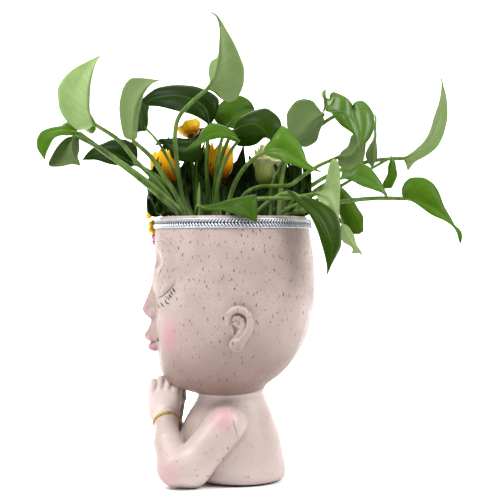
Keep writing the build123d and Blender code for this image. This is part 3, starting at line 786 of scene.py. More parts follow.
# Name, joint of blade and stalk, tip, blade width, direction that the upper side faces,
# bow, foot of the stalk on the soil, a point half way up, stalk radius.
LEAVES = [
    ("far_left_high", (30.7, -111, 317.6), (39.3, -102.2, 377.1), 50, (-0.7, -0.7, 0.1), 6,
     (-2.2, -24.8), (4.4, -76.8, 288.4), 1.7),
    ("far_left_tip", (11.4, -128.2, 310.4), (31.4, -154.8, 284.2), 42, (0.25, -0.35, 0.9), 12,
     (-7.8, -32.2), (12.6, -78.1, 278.7), 1.8),
    ("far_left_low", (45.6, -125, 305.9), (59.9, -119, 276.4), 42, (0.8, -0.5, 0.35), 5,
     (-1.2, -35.3), (34.3, -68.2, 273.5), 1.7),
    ("left_dark", (-40.7, -78.8, 291.4), (-26.1, -127.2, 288.6), 44, (0.62, 0, 0.78), 6,
     (-24.6, -27.9), (-7.9, -46.7, 262.9), 1.4),
    ("left_upright", (39.6, -75.1, 303.7), (42.8, -51.3, 354), 44, (-0.72, -0.6, 0.3), 12,
     (4.4, -30.1), (19.5, -53, 275.8), 1.6),
    ("left_inner", (-11, -67.4, 314.9), (-78, -78.9, 349.1), 34, (0.5, -0.5, 0.7), 3,
     (-6.8, -13.4), (-10.9, -53.6, 285.9), 1.3),
    ("centre_broad", (0.3, -6.3, 321.2), (-20.1, -74.4, 339.4), 50, (-0.42, 0.1, 0.9), 8,
     (-27.8, -6.6), (-15.4, -12.3, 278.4), 1.6),
    ("top_tall", (22.2, -10.2, 347.5), (38.3, -9.7, 413.9), 48, (-0.65, 0.7, 0.1), 12,
     (0.5, -14.6), (17.8, -38.6, 296.7), 1.9),
    ("centre_round", (-27.7, 4.9, 320), (-86.8, 28.9, 346.2), 46, (0.55, 0.2, 0.8), 6,
     (-20.4, 4.8), (-28.6, -4.1, 280.4), 1.4),
    ("centre_arch", (14.6, 20.8, 320.8), (42.1, 53.1, 300.9), 42, (0.45, 0.1, 0.88), 8,
     (-6.2, -1.2), (-4.2, 0.7, 288.4), 1.6),
    ("right_round", (-3.6, 92, 326), (-15, 68.9, 306.1), 46, (0.9, 0.1, 0.4), 4,
     (-15.4, 57.6), (-40.7, 63.1, 284.4), 1.6),
    ("right_bud", (-24.1, 102.2, 331.6), (-20.9, 91.9, 352.3), 14, (0.6, -0.6, 0.4), 3,
     (-15.3, 44.7), (-35.5, 80.3, 293.1), 1.2),
    ("right_glossy", (-4.6, 119.1, 337.9), (25.3, 124.1, 296.9), 42, (0.9, 0, 0.42), 8,
     (-5, 51.8), (-19.1, 100.2, 304.1), 1.5),
    ("centre_fold", (28.4, 37.6, 289.6), (31.4, 89.4, 273.6), 46, (0.6, 0.25, 0.75), 8,
     (14, 10.6), (5, 17.3, 272.9), 1.6),
    ("right_hang", (-4.9, 107.4, 289.1), (27.8, 120.4, 274.7), 36, (0.85, 0.1, 0.5), 6,
     (4, 23.8), (0, 70.9, 264.7), 1.4),
    ("right_mid", (22, 109.3, 270.6), (26.5, 147.8, 250.1), 34, (0.5, 0.1, 0.85), 7,
     (-2.4, 57.5), (-3.4, 88.4, 261.5), 1.4),
    ("right_vertical", (43.5, 86.2, 255.6), (48.1, 103.3, 231.1), 42, (0.85, -0.35, 0.35), 4,
     (12.1, 26.6), (15.6, 62.4, 258.9), 1.5),
    ("rim_long", (68.2, 72.2, 248.6), (70.2, 91.7, 183.9), 40, (0.8, 0.45, 0.3), 7,
     (30.8, 21.7), (24.4, 46.2, 250.3), 1.6),
    ("rim_short", (-11.4, 109.6, 263.2), (-7.4, 125.7, 221.4), 34, (0.85, 0.3, 0.4), 6,
     (3, 45.8), (-31, 77.9, 252.1), 1.3),
    ("rim_pale", (8.8, 107.5, 231), (17.9, 128.2, 200.7), 26, (-0.7, 0.5, 0.4), 4,
     (14.4, 45.4), (15.5, 88.7, 246.6), 1.2),
    ("far_right_high", (-34.7, 169.3, 288.2), (-55.5, 204.4, 373), 44, (-0.75, -0.5, 0.3), 14,
     (3, 50.9), (-45.9, 117.2, 282.7), 1.6),
    ("far_right_low", (12.6, 164.3, 251.5), (22.1, 213.7, 212.2), 44, (0.55, 0.3, 0.8), 8,
     (-7.1, 27.6), (23.5, 121.9, 250.5), 1.7),
    ("front_rim", (59, -16, 242.9), (99.8, 30.3, 231.8), 40, (0.35, -0.1, 0.93), 3,
     (22.7, -21.5), (28.3, -21.1, 231), 1.4),
    ("left_low_dark", (-10.7, -20.2, 304), (-59.9, -61.5, 303.9), 30, (0.3, 0.1, 0.95), 5,
     (-21.7, -9), (-35.5, -23.6, 269.6), 1.3),
    ("centre_bright", (27.9, 19.1, 302), (41.1, -31.4, 291.4), 34, (0.5, -0.1, 0.86), 6,
     (7.7, 2.3), (1.5, 0.7, 275.6), 1.4),
    ("right_small", (7.4, 153.2, 288.3), (2.7, 149.2, 260.8), 16, (0.7, 0.5, 0.3), 4,
     (7.4, 36), (4.7, 118.3, 269.2), 1.2),
]
# Blades: name, tone (0 dark, 1 bright: partly the leaf's own green, partly painted light and shade for leaves that sit
# in the light or in shadow), whether the underside shows, how much the halves arch, then the midrib and both edges from
# the joint to the tip, in millimetres.
BLADES = [
    ("far_left_high", 0.88, 1, -2,
     [(25, -110.8, 317.3), (29.6, -114.3, 329.4), (33.4, -113.6, 343.2), (36.6, -110.8, 360), (37.6, -107.5, 369.6), (38, -102, 377.4)],
     [(25, -110.8, 317.3), (22.1, -117.1, 312.4), (20, -126.8, 312.3), (19.9, -135.5, 319.7), (21.4, -142.5, 334.2), (23.7, -142.7, 347.4), (26.2, -137.9, 357.3), (29.2, -129.6, 364.8), (33.6, -115.8, 371.3), (35.9, -108.5, 374.5), (38, -102, 377.4)],
     [(25, -110.8, 317.3), (2.7, -110.9, 314.8), (-4.9, -116.1, 310.2), (-6.8, -122.8, 314.4), (-3.2, -126.4, 327), (8.9, -123.8, 345.8), (21, -117.2, 360.3), (30.3, -109.9, 370), (34.7, -105.5, 374.3), (38, -102, 377.4)]),
    ("far_left_tip", 0.6, 0, 2,
     [(20, -124.8, 309), (25.8, -135.6, 311.7), (30.1, -146.8, 309.8), (32.7, -155.1, 302.5), (33.8, -156.1, 294.6), (34, -152.5, 284.4)],
     [(20, -124.8, 309), (14.8, -130.6, 314.6), (12.9, -136.4, 320.1), (13.2, -142.4, 315.8), (15.8, -152.7, 313.3), (19.4, -160.1, 309.1), (22.8, -161.5, 302.5), (26.3, -160.7, 295.9), (30.6, -156.5, 289.3), (34, -152.5, 284.4)],
     [(20, -124.8, 309), (24, -126.3, 306.5), (34, -136.1, 306.6), (37.7, -144.2, 302.9), (37.1, -149.7, 293.6), (35.4, -151.7, 288.2), (34, -152.5, 284.4)]),
    ("far_left_low", 0.2, 1, -2,
     [(30, -126, 307), (36, -129.2, 299.9), (39.8, -128.5, 293.4), (43.3, -125.6, 286.2), (45.2, -122.2, 280.6), (46, -118.7, 277.5)],
     [(30, -126, 307), (25.8, -133.2, 305.8), (24.4, -141.3, 299.2), (26.5, -148.1, 289.6), (29.1, -150.5, 282.4), (30.7, -148.3, 279.1), (34.1, -140.8, 278.8), (41, -127.4, 280.4), (44.1, -121.6, 279.6), (46, -118.7, 277.5)],
     [(30, -126, 307), (27, -123.6, 305.3), (28.1, -123.2, 298.1), (35.1, -123.4, 288.3), (41.1, -121.5, 282), (46, -118.7, 277.5)]),
    ("left_dark", 0.02, 0, 2,
     [(-18, -80.1, 285.2), (-19.2, -92.4, 291), (-22.3, -104.1, 294.4), (-27, -116.1, 293.9), (-34, -128.1, 289)],
     [(-18, -80.1, 285.2), (-20.4, -77, 287), (-22.8, -75.7, 292.8), (-25.7, -76.6, 299.6), (-28.4, -80.9, 304.7), (-31.1, -90.2, 307.8), (-32.8, -100.2, 307.9), (-33.6, -108.5, 305.1), (-33.9, -116.8, 301), (-33.9, -123.4, 295.2), (-34, -128.1, 289)],
     [(-18, -80.1, 285.2), (-14.9, -79, 282.4), (-10.9, -85.2, 281.4), (-11.5, -94.9, 282.8), (-17.1, -106.9, 286), (-25, -117.5, 288.7), (-34, -128.1, 289)]),
    ("left_upright", 0.44, 1, -2,
     [(40, -74.3, 301.5), (44.3, -74, 310.2), (48.9, -73.1, 321.8), (52.1, -70.1, 332.1), (54.7, -64.1, 343.7), (55.7, -57.5, 349.5), (56, -49.3, 352.5)],
     [(40, -74.3, 301.5), (38.4, -78, 302), (36.9, -83.1, 304.8), (36.6, -86.4, 318.9), (38.8, -87, 332.1), (41.9, -85.1, 343.8), (44.6, -80.8, 351.4), (47.1, -74.7, 355.4), (51.2, -63.1, 354.7), (54.5, -53.6, 353.1), (56, -49.3, 352.5)],
     [(40, -74.3, 301.5), (23.2, -73.6, 304.5), (8.1, -73.0, 311.5), (9.5, -72.0, 327.6), (20.1, -68.6, 338.7), (32.9, -63.6, 346), (45.2, -57.6, 350.8), (56, -49.3, 352.5)]),
    ("left_inner", 0.06, 0, 1.5,
     [(-30, -68.2, 316.4), (-33, -71.3, 323.7), (-38.5, -73.1, 332.7), (-44.7, -75, 340.4), (-50, -74.7, 346)],
     [(-30, -68.2, 316.4), (-35.7, -77.8, 314.6), (-40, -80.4, 320.8), (-45.2, -80.4, 332.6), (-48, -78.1, 340.7), (-50, -74.7, 346)],
     [(-30, -68.2, 316.4), (-26.2, -67, 319.6), (-30.2, -66.5, 331.2), (-36.9, -66.6, 338.5), (-43.8, -69.9, 343.9), (-50, -74.7, 346)]),
    ("centre_broad", 0.02, 0, 2,
     [(-22, -10.3, 320.2), (-23.1, -12.4, 332.4), (-25.6, -23.5, 342.7), (-30.7, -42.1, 347.9), (-37.8, -61, 346.3), (-46, -76.4, 339.3)],
     [(-22, -10.3, 320.2), (-26.2, -7.1, 329), (-28.9, -2.2, 336.6), (-32.1, -1.3, 343.9), (-35, -6.3, 350.2), (-38.4, -16.6, 355.2), (-41.1, -28.7, 358.6), (-43.1, -42.7, 360.1), (-44.3, -56.8, 357.7), (-45.1, -68, 351.3), (-45.6, -74.5, 344.8), (-46, -76.4, 339.3)],
     [(-22, -10.3, 320.2), (-17.4, -14, 323.2), (-14.2, -21.2, 327), (-15.5, -30.4, 330.3), (-21.5, -44.4, 334.5), (-36.8, -65.5, 339.3), (-43.3, -73.4, 339.9), (-46, -76.4, 339.3)]),
    ("top_tall", 0.54, 1, -2,
     [(10, -10.7, 349.3), (14.7, -5.8, 357.6), (19.4, -2.3, 367.9), (24.1, 0.1, 380.9), (28, 1, 395.2), (30.1, -0.7, 405.6), (31.3, -4, 413.2), (32, -10.4, 415.7)],
     [(10, -10.7, 349.3), (7.4, -6, 347.5), (4.3, 0.8, 341.3), (3.4, 9.1, 337.9), (3.7, 14.6, 340.4), (4.5, 18.7, 347.9), (6.2, 21.7, 357.3), (8.7, 22.1, 367.9), (11.4, 19.4, 376.5), (16.2, 13.3, 388.7), (21.6, 6.6, 400.2), (26.7, 0.6, 410.5), (29.2, -3.8, 414.6), (32, -10.4, 415.7)],
     [(10, -10.7, 349.3), (2.7, -8.8, 358.4), (0.5, -10.3, 364.8), (0.4, -10.3, 371), (1.3, -7.5, 376.8), (2.8, -2.6, 379.1), (7.3, -0.5, 388.6), (15.8, -0.6, 401.1), (25, -2.8, 411.8), (32, -10.4, 415.7)]),
    ("centre_round", 0.34, 0, 2,
     [(-40, 5.4, 320.5), (-43.6, 11.7, 327.9), (-50.3, 20.9, 334.3), (-60, 31, 339.9)],
     [(-40, 5.4, 320.5), (-43.7, -2.5, 323), (-47, -6.5, 329), (-50.3, -5.9, 336.4), (-53.5, -0.6, 343.9), (-56, 8, 349.5), (-57.7, 18, 351.3), (-58.6, 24.5, 348.4), (-59.4, 28.8, 344.1), (-60, 31, 339.9)],
     [(-40, 5.4, 320.5), (-34.1, 11.8, 318.2), (-37, 20.3, 321.3), (-44.2, 26.7, 327.3), (-52.9, 31.3, 333.8), (-60, 31, 339.9)]),
    ("centre_arch", 0.1, 0, 2,
     [(4, 12.2, 313), (11, 21.2, 317), (15.5, 28.7, 318.4), (19.7, 36.8, 314.4), (22.4, 42.2, 308.4), (24, 45.9, 302.9)],
     [(4, 12.2, 313), (0.4, 16.3, 317.7), (-1.6, 18, 325.5), (-0.8, 24.6, 329.6), (1.2, 32.9, 332.3), (3.8, 40.4, 333), (7.3, 47.9, 329.5), (11.1, 53.3, 323.7), (14.6, 55.3, 317.2), (19.5, 51.1, 309.3), (24, 45.9, 302.9)],
     [(4, 12.2, 313), (-2.6, 12.5, 308.3), (-4.2, 16.3, 300.2), (-0.4, 24.6, 298.9), (6.8, 32.8, 300.8), (16.9, 40.3, 305.5), (24, 45.9, 302.9)]),
    ("right_round", 0.3, 1, -2,
     [(-12, 93.3, 328.5), (-8.4, 84.2, 321.2), (-6.6, 77.7, 314.1), (-5.9, 70.1, 307.1), (-6, 67.2, 303.7)],
     [(-12, 93.3, 328.5), (-14.6, 91.5, 332.6), (-16.8, 88.4, 337.3), (-18, 84.7, 342), (-18.5, 76.3, 343.8), (-18.1, 69.9, 342.5), (-17.2, 64.8, 338), (-14.6, 60.2, 328), (-11.4, 60.6, 317.7), (-8.3, 63.7, 309.3), (-6, 67.2, 303.7)],
     [(-12, 93.3, 328.5), (-16.7, 94.6, 325.1), (-20.1, 93.1, 320.3), (-21.4, 91.2, 314), (-20.1, 88, 306.2), (-17, 82.6, 301.5), (-13.7, 77.4, 299.3), (-10.6, 72.8, 300.4), (-6, 67.2, 303.7)]),
    ("right_bud", 0.85, 1, 1,
     [(-8, 93.1, 330.1), (-8.5, 95.3, 336.5), (-7.8, 95.6, 342.1), (-6.2, 94.3, 347), (-4, 95.7, 351.2)],
     [(-8, 93.1, 330.1), (-5.5, 92.8, 333), (-3.1, 94, 337.8), (-2.7, 91.6, 345.4), (-3.5, 93.4, 350.2), (-4, 95.7, 351.2)],
     [(-8, 93.1, 330.1), (-2.8, 96.6, 333.7), (0.1, 100.9, 338.2), (0.3, 102.6, 343.5), (-0.9, 97.5, 342.5), (-2.6, 95.5, 347.3), (-4, 95.7, 351.2)]),
    ("right_glossy", 0.52, 0, 3,
     [(-4, 119.2, 334.1), (2.8, 120.3, 325.9), (10, 122.3, 316.5), (16.1, 123.4, 307.2), (22, 123.9, 296.3)],
     [(-4, 119.2, 334.1), (-5.9, 119.5, 337.8), (-8.6, 114.1, 344), (-8.6, 107.7, 347.9), (-7.6, 102.6, 349.7), (-6.7, 99.4, 347.1), (-5.1, 98.3, 341.2), (-1.4, 95, 330.7), (0.9, 100.2, 329.1), (3.4, 103.2, 324.3), (7.2, 108, 318), (11.3, 114, 312.9), (14.3, 118.2, 309.2), (17.7, 121.7, 304), (22, 123.9, 296.3)],
     [(-4, 119.2, 334.1), (-5.9, 119.9, 337.8), (-7.5, 123.6, 341.1), (-7.4, 127.4, 341.5), (-5.7, 132.3, 338.4), (-3.3, 136.2, 333.4), (-0.2, 138.8, 327.4), (4, 139.2, 319.5), (8, 137.5, 312.9), (14, 133.2, 304.2), (18.9, 127.8, 298.9), (22, 123.9, 296.3)]),
    ("far_right_high+", 0.26, 1, -1,
     [(-34, 141.7, 332.5), (-34.2, 143.2, 321.5), (-35.2, 142.8, 309.3), (-37, 141.3, 298.4), (-38.8, 141.2, 290.1), (-41, 140.5, 282.1)],
     [(-34, 141.7, 332.5), (-37.4, 142.9, 324.4), (-40.8, 141.7, 313), (-42, 137.2, 301.4), (-41.8, 134, 293.5), (-41.4, 136.5, 287), (-41, 140.5, 282.1)],
     [(-34, 141.7, 332.5), (-36.9, 144.4, 327), (-39.9, 144.7, 318.1), (-41.5, 144.3, 309.8), (-42, 145.7, 298.7), (-41.6, 144.8, 290.9), (-41, 140.5, 282.1)]),
    ("centre_fold", 0.66, 0, 2.5,
     [(22, 39.5, 292.2), (25.9, 47, 294.2), (30.5, 57.6, 291.6), (34.7, 68, 284.5), (37.8, 78.5, 277.9), (40, 91.4, 273.1)],
     [(22, 39.5, 292.2), (18.9, 42.9, 298.2), (17.1, 47.2, 306), (18, 53, 313.9), (18.6, 56, 316.1), (21.1, 63.9, 309), (25, 71.4, 299.6), (29, 75.2, 290.2), (31.6, 76.6, 284.3), (35, 82.3, 279.2), (40, 91.4, 273.1)],
     [(22, 39.5, 292.2), (26.9, 43.2, 288.5), (33.5, 51.4, 286), (39.3, 60.4, 281.1), (41.6, 69.3, 278.6), (41.9, 76.8, 276.1), (41.2, 84.3, 274.4), (40, 91.4, 273.1)]),
    ("right_hang", 0.3, 1, -2.5,
     [(2, 105.8, 290), (6.9, 116.2, 291.6), (10.1, 122.9, 298.9), (11.6, 127.2, 305.7), (12, 128.4, 310)],
     [(2, 105.8, 290), (-1.3, 109.8, 294.7), (-0.9, 113.6, 298.4), (1.3, 116.6, 304), (4.6, 118.6, 309.4), (8.1, 123, 311.9), (12, 128.4, 310)],
     [(2, 105.8, 290), (5.3, 106.1, 283.5), (8.2, 110.5, 278.2), (10.7, 116.6, 275.6), (12, 121.5, 276.9), (13.1, 125.8, 281.8), (13.5, 128.6, 287.4), (13.4, 130, 294.9), (12.9, 130.5, 302.5), (12, 128.4, 310)]),
    ("right_mid", 0.52, 0, 2,
     [(14, 108.6, 270.1), (18.8, 117.5, 270.6), (23.2, 127.3, 268.3), (26.6, 136.3, 263.3), (28.8, 144.1, 257.5), (30, 148.2, 248.8)],
     [(14, 108.6, 270.1), (10.5, 109.1, 276.5), (9.1, 118.2, 278.4), (10.3, 125.2, 283.1), (12.2, 131.8, 280.9), (15.3, 137.7, 275.4), (19.3, 142.7, 268.1), (24.3, 145.8, 259), (27.1, 148.3, 254.5), (30, 148.2, 248.8)],
     [(14, 108.6, 270.1), (20.1, 115.3, 267.8), (26, 121.7, 264.3), (30, 129.9, 260.5), (31.1, 135.9, 258.3), (31.1, 143, 256.1), (30.6, 146.1, 252.6), (30, 148.2, 248.8)]),
    ("right_vertical", 0.64, 1, -2,
     [(32, 84.7, 256), (37.6, 93.5, 253.5), (42.3, 100.8, 243.6), (44, 104.4, 231.1)],
     [(32, 84.7, 256), (28.9, 90.9, 262.2), (27.6, 94.8, 272.1), (28, 97.1, 281.2), (28.7, 100.8, 286.7), (29.7, 105, 282.6), (31.9, 106.5, 271.9), (36.1, 105.8, 256.6), (40.8, 105.2, 241.4), (44, 104.4, 231.1)],
     [(32, 84.7, 256), (37.2, 86, 251.1), (44.5, 93.2, 244.6), (46.8, 96, 239.4), (47.5, 90, 233), (46.9, 94.5, 231.3), (45.3, 100.6, 233.2), (44, 104.4, 231.1)]),
    ("rim_long", 0.16, 0, 2,
     [(54, 67.4, 251.4), (59.2, 82, 237.9), (62.7, 92.2, 223.1), (64.9, 97.2, 206.8), (65.8, 95.3, 193.6), (66, 92, 183)],
     [(54, 67.4, 251.4), (58, 57.2, 257.9), (62.3, 67.1, 247), (64.8, 75.9, 239.2), (66.5, 82, 227.4), (67.2, 87.5, 212.7), (66.9, 91.4, 198), (66.5, 92.6, 189.9), (66, 92, 183)],
     [(54, 67.4, 251.4), (47.5, 81, 250.9), (46.2, 93.1, 245), (47.2, 102.3, 235.2), (50.3, 106.6, 221.7), (53.6, 106, 211.3), (57.8, 101.3, 200.9), (61.9, 96.4, 192.1), (64.9, 93.3, 185.5), (66, 92, 183)]),
    ("rim_short", 0.50, 0, 2,
     [(-6, 109, 263.7), (-1.9, 114.2, 247.2), (-0.1, 120.3, 233.2), (0, 124.9, 220)],
     [(-6, 109, 263.7), (-9.7, 107.9, 252.2), (-8.5, 108.4, 238.1), (-4.7, 113.6, 225.5), (-1.9, 119.7, 220.4), (-0, 124.9, 220)],
     [(-6, 109, 263.7), (-9.7, 117.9, 255.3), (-8.4, 125.6, 243.5), (-5.4, 129.7, 233.3), (-2, 129.6, 223.6), (-0, 124.9, 220)]),
    ("rim_pale", 0.78, 1, -1,
     [(12, 108.7, 229.9), (11.6, 113.3, 219.2), (10.4, 119.5, 209.6), (8, 129.3, 200.4)],
     [(12, 108.7, 229.9), (9.3, 107.3, 222.3), (7.3, 110.5, 212.7), (6.9, 119, 206.6), (7.1, 118.2, 202.5), (7.6, 124.4, 202.5), (8, 129.3, 200.4)],
     [(12, 108.7, 229.9), (9.6, 114.2, 227.6), (7.4, 119.3, 220.7), (6.9, 122, 213), (7.5, 126.2, 205), (8, 129.3, 200.4)]),
    ("far_right_high", 0.48, 1, -2,
     [(-34, 168.1, 291.2), (-34.8, 180.9, 296), (-36.5, 192.2, 308.9), (-38.8, 200, 323.4), (-41.8, 204.6, 339.7), (-45.5, 207, 356.1), (-50, 203.6, 373.2)],
     [(-34, 168.1, 291.2), (-52.4, 178.9, 297.5), (-56.8, 188.7, 307.2), (-57.3, 196.9, 320.2), (-55.5, 201.5, 336.2), (-53.2, 204.8, 350.5), (-51.5, 206.3, 361.6), (-50.5, 205.1, 368.7), (-50, 203.6, 373.2)],
     [(-34, 168.1, 291.2), (-37.2, 171.1, 285.8), (-39.5, 173.4, 279.4), (-42.6, 180.2, 287.1), (-46.4, 191, 293.6), (-49.4, 202.7, 303.4), (-51, 209.3, 316.4), (-51.6, 212, 331), (-51.2, 210.5, 350.3), (-50.7, 208, 359.9), (-50.3, 205.7, 367.9), (-50, 203.6, 373.2)]),
    ("far_right_low", 0.5, 0, 2,
     [(20, 162.4, 251.9), (25, 176.3, 248.2), (28.8, 188.7, 241.7), (31.5, 199.7, 232.9), (32.9, 206.8, 226), (33.6, 211.2, 218.9), (34, 211.1, 211.1)],
     [(20, 162.4, 251.9), (17.6, 161.5, 258.8), (15.8, 164.8, 266.6), (15.7, 171.2, 270.9), (16.2, 178.8, 271), (17.4, 187.9, 266.5), (19.1, 193.8, 258.8), (22.6, 199.4, 244.9), (25.4, 203.6, 235.7), (27.9, 206.6, 227.8), (29.5, 210.9, 224.7), (31.3, 213.5, 219.7), (33, 212.9, 214.1), (34, 211.1, 211.1)],
     [(20, 162.4, 251.9), (24.2, 168, 249.7), (30.2, 177.2, 243.2), (34.8, 188.7, 235.5), (35.9, 199.1, 230.1), (35.8, 205.1, 226), (35.2, 208.5, 220), (34.4, 209.9, 213.8), (34, 211.1, 211.1)]),
    ("front_rim", 0.28, 0, 2,
     [(46, -17.6, 244.3), (55.8, -4.7, 240.4), (63.7, 7.3, 241.5), (71, 20.4, 239.2), (75.2, 28.2, 234.7), (78, 33, 229.7)],
     [(46, -17.6, 244.3), (38.4, -7.8, 242.3), (39.4, 2.9, 244.8), (44.2, 13.6, 249.7), (50.1, 22.9, 252.1), (57.3, 32.2, 253.6), (63.9, 33.3, 245.7), (72.1, 33.2, 236.4), (78, 33, 229.7)],
     [(46, -17.6, 244.3), (51.7, -11.4, 239.2), (62.3, -0.6, 240), (69.6, 10, 238.2), (74.5, 20.4, 234.2), (76.5, 26.9, 231.6), (78, 33, 229.7)]),
    ("left_low_dark", 0.04, 0, 2,
     [(-24, -18, 304.7), (-28.7, -33.6, 304.7), (-36.1, -51, 306.7), (-42, -61, 302.9)],
     [(-24, -18, 304.7), (-27.9, -22.3, 308.5), (-37.9, -39.7, 309.7), (-41.1, -55.5, 309.5), (-41.6, -59.4, 306.6), (-42, -61, 302.9)],
     [(-24, -18, 304.7), (-17.1, -17.1, 294.4), (-17.3, -24, 286), (-20, -33.2, 286.7), (-26.2, -44.8, 290.8), (-33.2, -50.8, 299.7), (-37.6, -55.3, 304), (-42, -61, 302.9)]),
    ("centre_bright", 0.5, 0, 2.5,
     [(14, 16.4, 303.6), (18.4, 8.3, 307.7), (22.2, -1.1, 309.1), (25.2, -9.8, 306.8), (28.1, -19.8, 299.9), (30, -32.2, 292.3)],
     [(14, 16.4, 303.6), (10.1, 12.7, 310.1), (9, 8.2, 315), (9.9, 1.4, 318), (11.7, -6.1, 319), (14, -12.2, 316.2), (16.8, -16.8, 311.6), (20.7, -19.1, 303.8), (25.6, -26, 297.6), (30, -32.2, 292.3)],
     [(14, 16.4, 303.6), (18.1, 12.4, 302.5), (21.2, 8.4, 304), (27.2, 0.4, 304.8), (30.6, -7.6, 302.6), (31.9, -15.6, 298.9), (31.4, -24.4, 295.2), (30, -32.2, 292.3)]),
    ("right_small", 0.46, 0, 1.5,
     [(6, 154.6, 288.8), (8.9, 153.8, 279.5), (10.4, 152.3, 270.1), (10, 147, 260.6)],
     [(6, 154.6, 288.8), (3.9, 152, 284.9), (4.2, 150.4, 277.3), (6.1, 148.6, 270.3), (8.2, 145.5, 265.3), (10, 147, 260.6)],
     [(6, 154.6, 288.8), (3.9, 157.7, 283.6), (4.1, 159.1, 276), (5.8, 157.5, 267.8), (8.3, 152.5, 261.1), (10, 147, 260.6)]),
]
OUTLINE = [
    (0.02, 0.0), (-0.03, 0.10), (-0.09, 0.22), (-0.08, 0.34), (0.0, 0.43),
    (0.14, 0.49), (0.32, 0.50), (0.52, 0.43), (0.70, 0.30), (0.86, 0.14), (1.0, 0.0),
]
LANCE = [
    (0.0, 0.0), (0.0, 0.05), (0.03, 0.12), (0.10, 0.23), (0.20, 0.35),
    (0.32, 0.45), (0.46, 0.50), (0.62, 0.46), (0.76, 0.34), (0.88, 0.17), (1.0, 0.0),
]
SOIL_Z = 222.0


def leaf_material():
    m = Mat("pothos_leaf")
    side, tone, stalk = m.attr("under"), m.attr("tone"), m.attr("stalk")
    t, s = m.attr("vein_t"), m.attr("vein_s")
    t = m.math("ADD", t, m.math("MULTIPLY", m.math("POWER", s, 1.4), -0.24))
    # tone brightens or darkens each leaf: partly its own shade of green, partly painted light and shade for leaves that
    # are lit or in shadow.
    top = m.mix(tone, lin((18, 34, 0)), lin((88, 130, 26)))
    low = m.mix(tone, lin((22, 40, 1)), lin((160, 184, 122)))
    col = m.mix(side, top, low)
    mott = m.map(m.noise(70.0, 4.0, 0.6), 0.35, 0.7)
    col = m.mix(m.math("MULTIPLY", mott, 0.22), col, m.mix(side, lin((20, 48, 4)), lin((84, 114, 44))))
    # Side veins leave the midrib at a slant; the attribute runs along the outline.
    run = m.math("MULTIPLY", t, 11.0)
    wave = m.math("ABSOLUTE", m.math("SUBTRACT", m.math("FRACT", run), 0.5))
    vein = m.math("MULTIPLY", m.map(wave, 0.13, 0.0), m.map(s, 0.98, 0.5))
    fine = m.math("ABSOLUTE", m.math("SUBTRACT", m.math("FRACT", m.math("MULTIPLY", t, 55.0)), 0.5))
    vein = m.math("ADD", m.math("MULTIPLY", vein, 0.16), m.math("MULTIPLY", m.map(fine, 0.2, 0.0), 0.05))
    mid = m.map(s, 0.055, 0.02)
    col = m.mix(vein, col, m.mix(side, lin((16, 38, 8)), lin((60, 96, 42))))
    # A paler midrib: partly the rib's own colour, partly a painted highlight along it.
    col = m.mix(m.math("MULTIPLY", mid, 0.18), col, m.mix(side, lin((88, 126, 54)), lin((158, 184, 128))))
    edge = m.map(s, 0.965, 1.0)
    col = m.mix(m.math("MULTIPLY", edge, 0.45), col, lin((44, 74, 22)))
    bark = m.mix(m.map(m.noise(160.0, 2.0, vec=m.scaled((1, 1, 0.25))), 0.3, 0.7), lin((50, 76, 20)), lin((94, 124, 54)))
    # Stalks follow their blade's tone, painted light and shade included.
    bark = m.mix(m.math("MULTIPLY", tone, 0.42), bark, lin((136, 160, 94)))
    bark = m.mix(m.math("MULTIPLY", m.attr("foot"), 0.8), bark, lin((140, 160, 108)))
    col = m.mix(stalk, col, bark)
    rough = m.math("ADD", m.math("MULTIPLY", side, 0.16), 0.34)
    rough = m.math("SUBTRACT", rough, m.math("MULTIPLY", m.attr("gloss"), 0.1))
    height = m.math("ADD", m.math("MULTIPLY", vein, 1.0), m.math("MULTIPLY", m.noise(900.0, 2.0), 0.35))
    n = m.bump(height, 0.0004, 0.45)
    return m.set(color=col, rough=rough, normal=n, spec=m.math("ADD", m.math("MULTIPLY", m.attr("gloss"), 0.5), 0.05), sss=0.05, sss_scale=0.002,
                 sss_radius=(0.5, 1.0, 0.2))


def frames(P, first=None):
    """Two directions square to a path at each of its points."""
    T = np.gradient(P, axis=0)
    T /= np.linalg.norm(T, axis=1)[:, None]
    if first is None:
        first = np.array([0, 0, 1.0]) if abs(T[0, 2]) < 0.9 else np.array([1.0, 0, 0])
    U = np.zeros_like(T)
    u = first - T[0] * (first @ T[0])
    for i in range(len(T)):
        u = u - T[i] * (u @ T[i])
        u = u / np.linalg.norm(u)
        U[i] = u
    return T, U, np.cross(T, U)


def sweep(P, r, sides=10, closed=False, flat=1.0, first=None, caps=True):
    """A tube along a path; r is a number or one per point, flat squeezes it along its first direction."""
    P = np.asarray(P, float)
    n = len(P)
    r = np.broadcast_to(np.asarray(r, float), (n,))
    T, U, W = frames(np.concatenate([P, P[:1]]) if closed else P, first)
    T, U, W = T[:n], U[:n], W[:n]
    a = np.linspace(0, 2 * PI, sides, endpoint=False)
    V = (P[:, None] + r[:, None, None] * (flat * np.cos(a)[None, :, None] * U[:, None] + np.sin(a)[None, :, None] * W[:, None])).reshape(-1, 3)
    i = np.arange(n if closed else n - 1)[:, None]
    j = np.arange(sides)[None]
    k = (i + 1) % n
    Q = np.stack([i * sides + j, i * sides + (j + 1) % sides, k * sides + (j + 1) % sides, k * sides + j], -1).reshape(-1, 4)
    poly = []
    if not closed and caps:
        poly = [list(range(sides))[::-1], [(n - 1) * sides + q for q in range(sides)]]
    return V, Q, poly


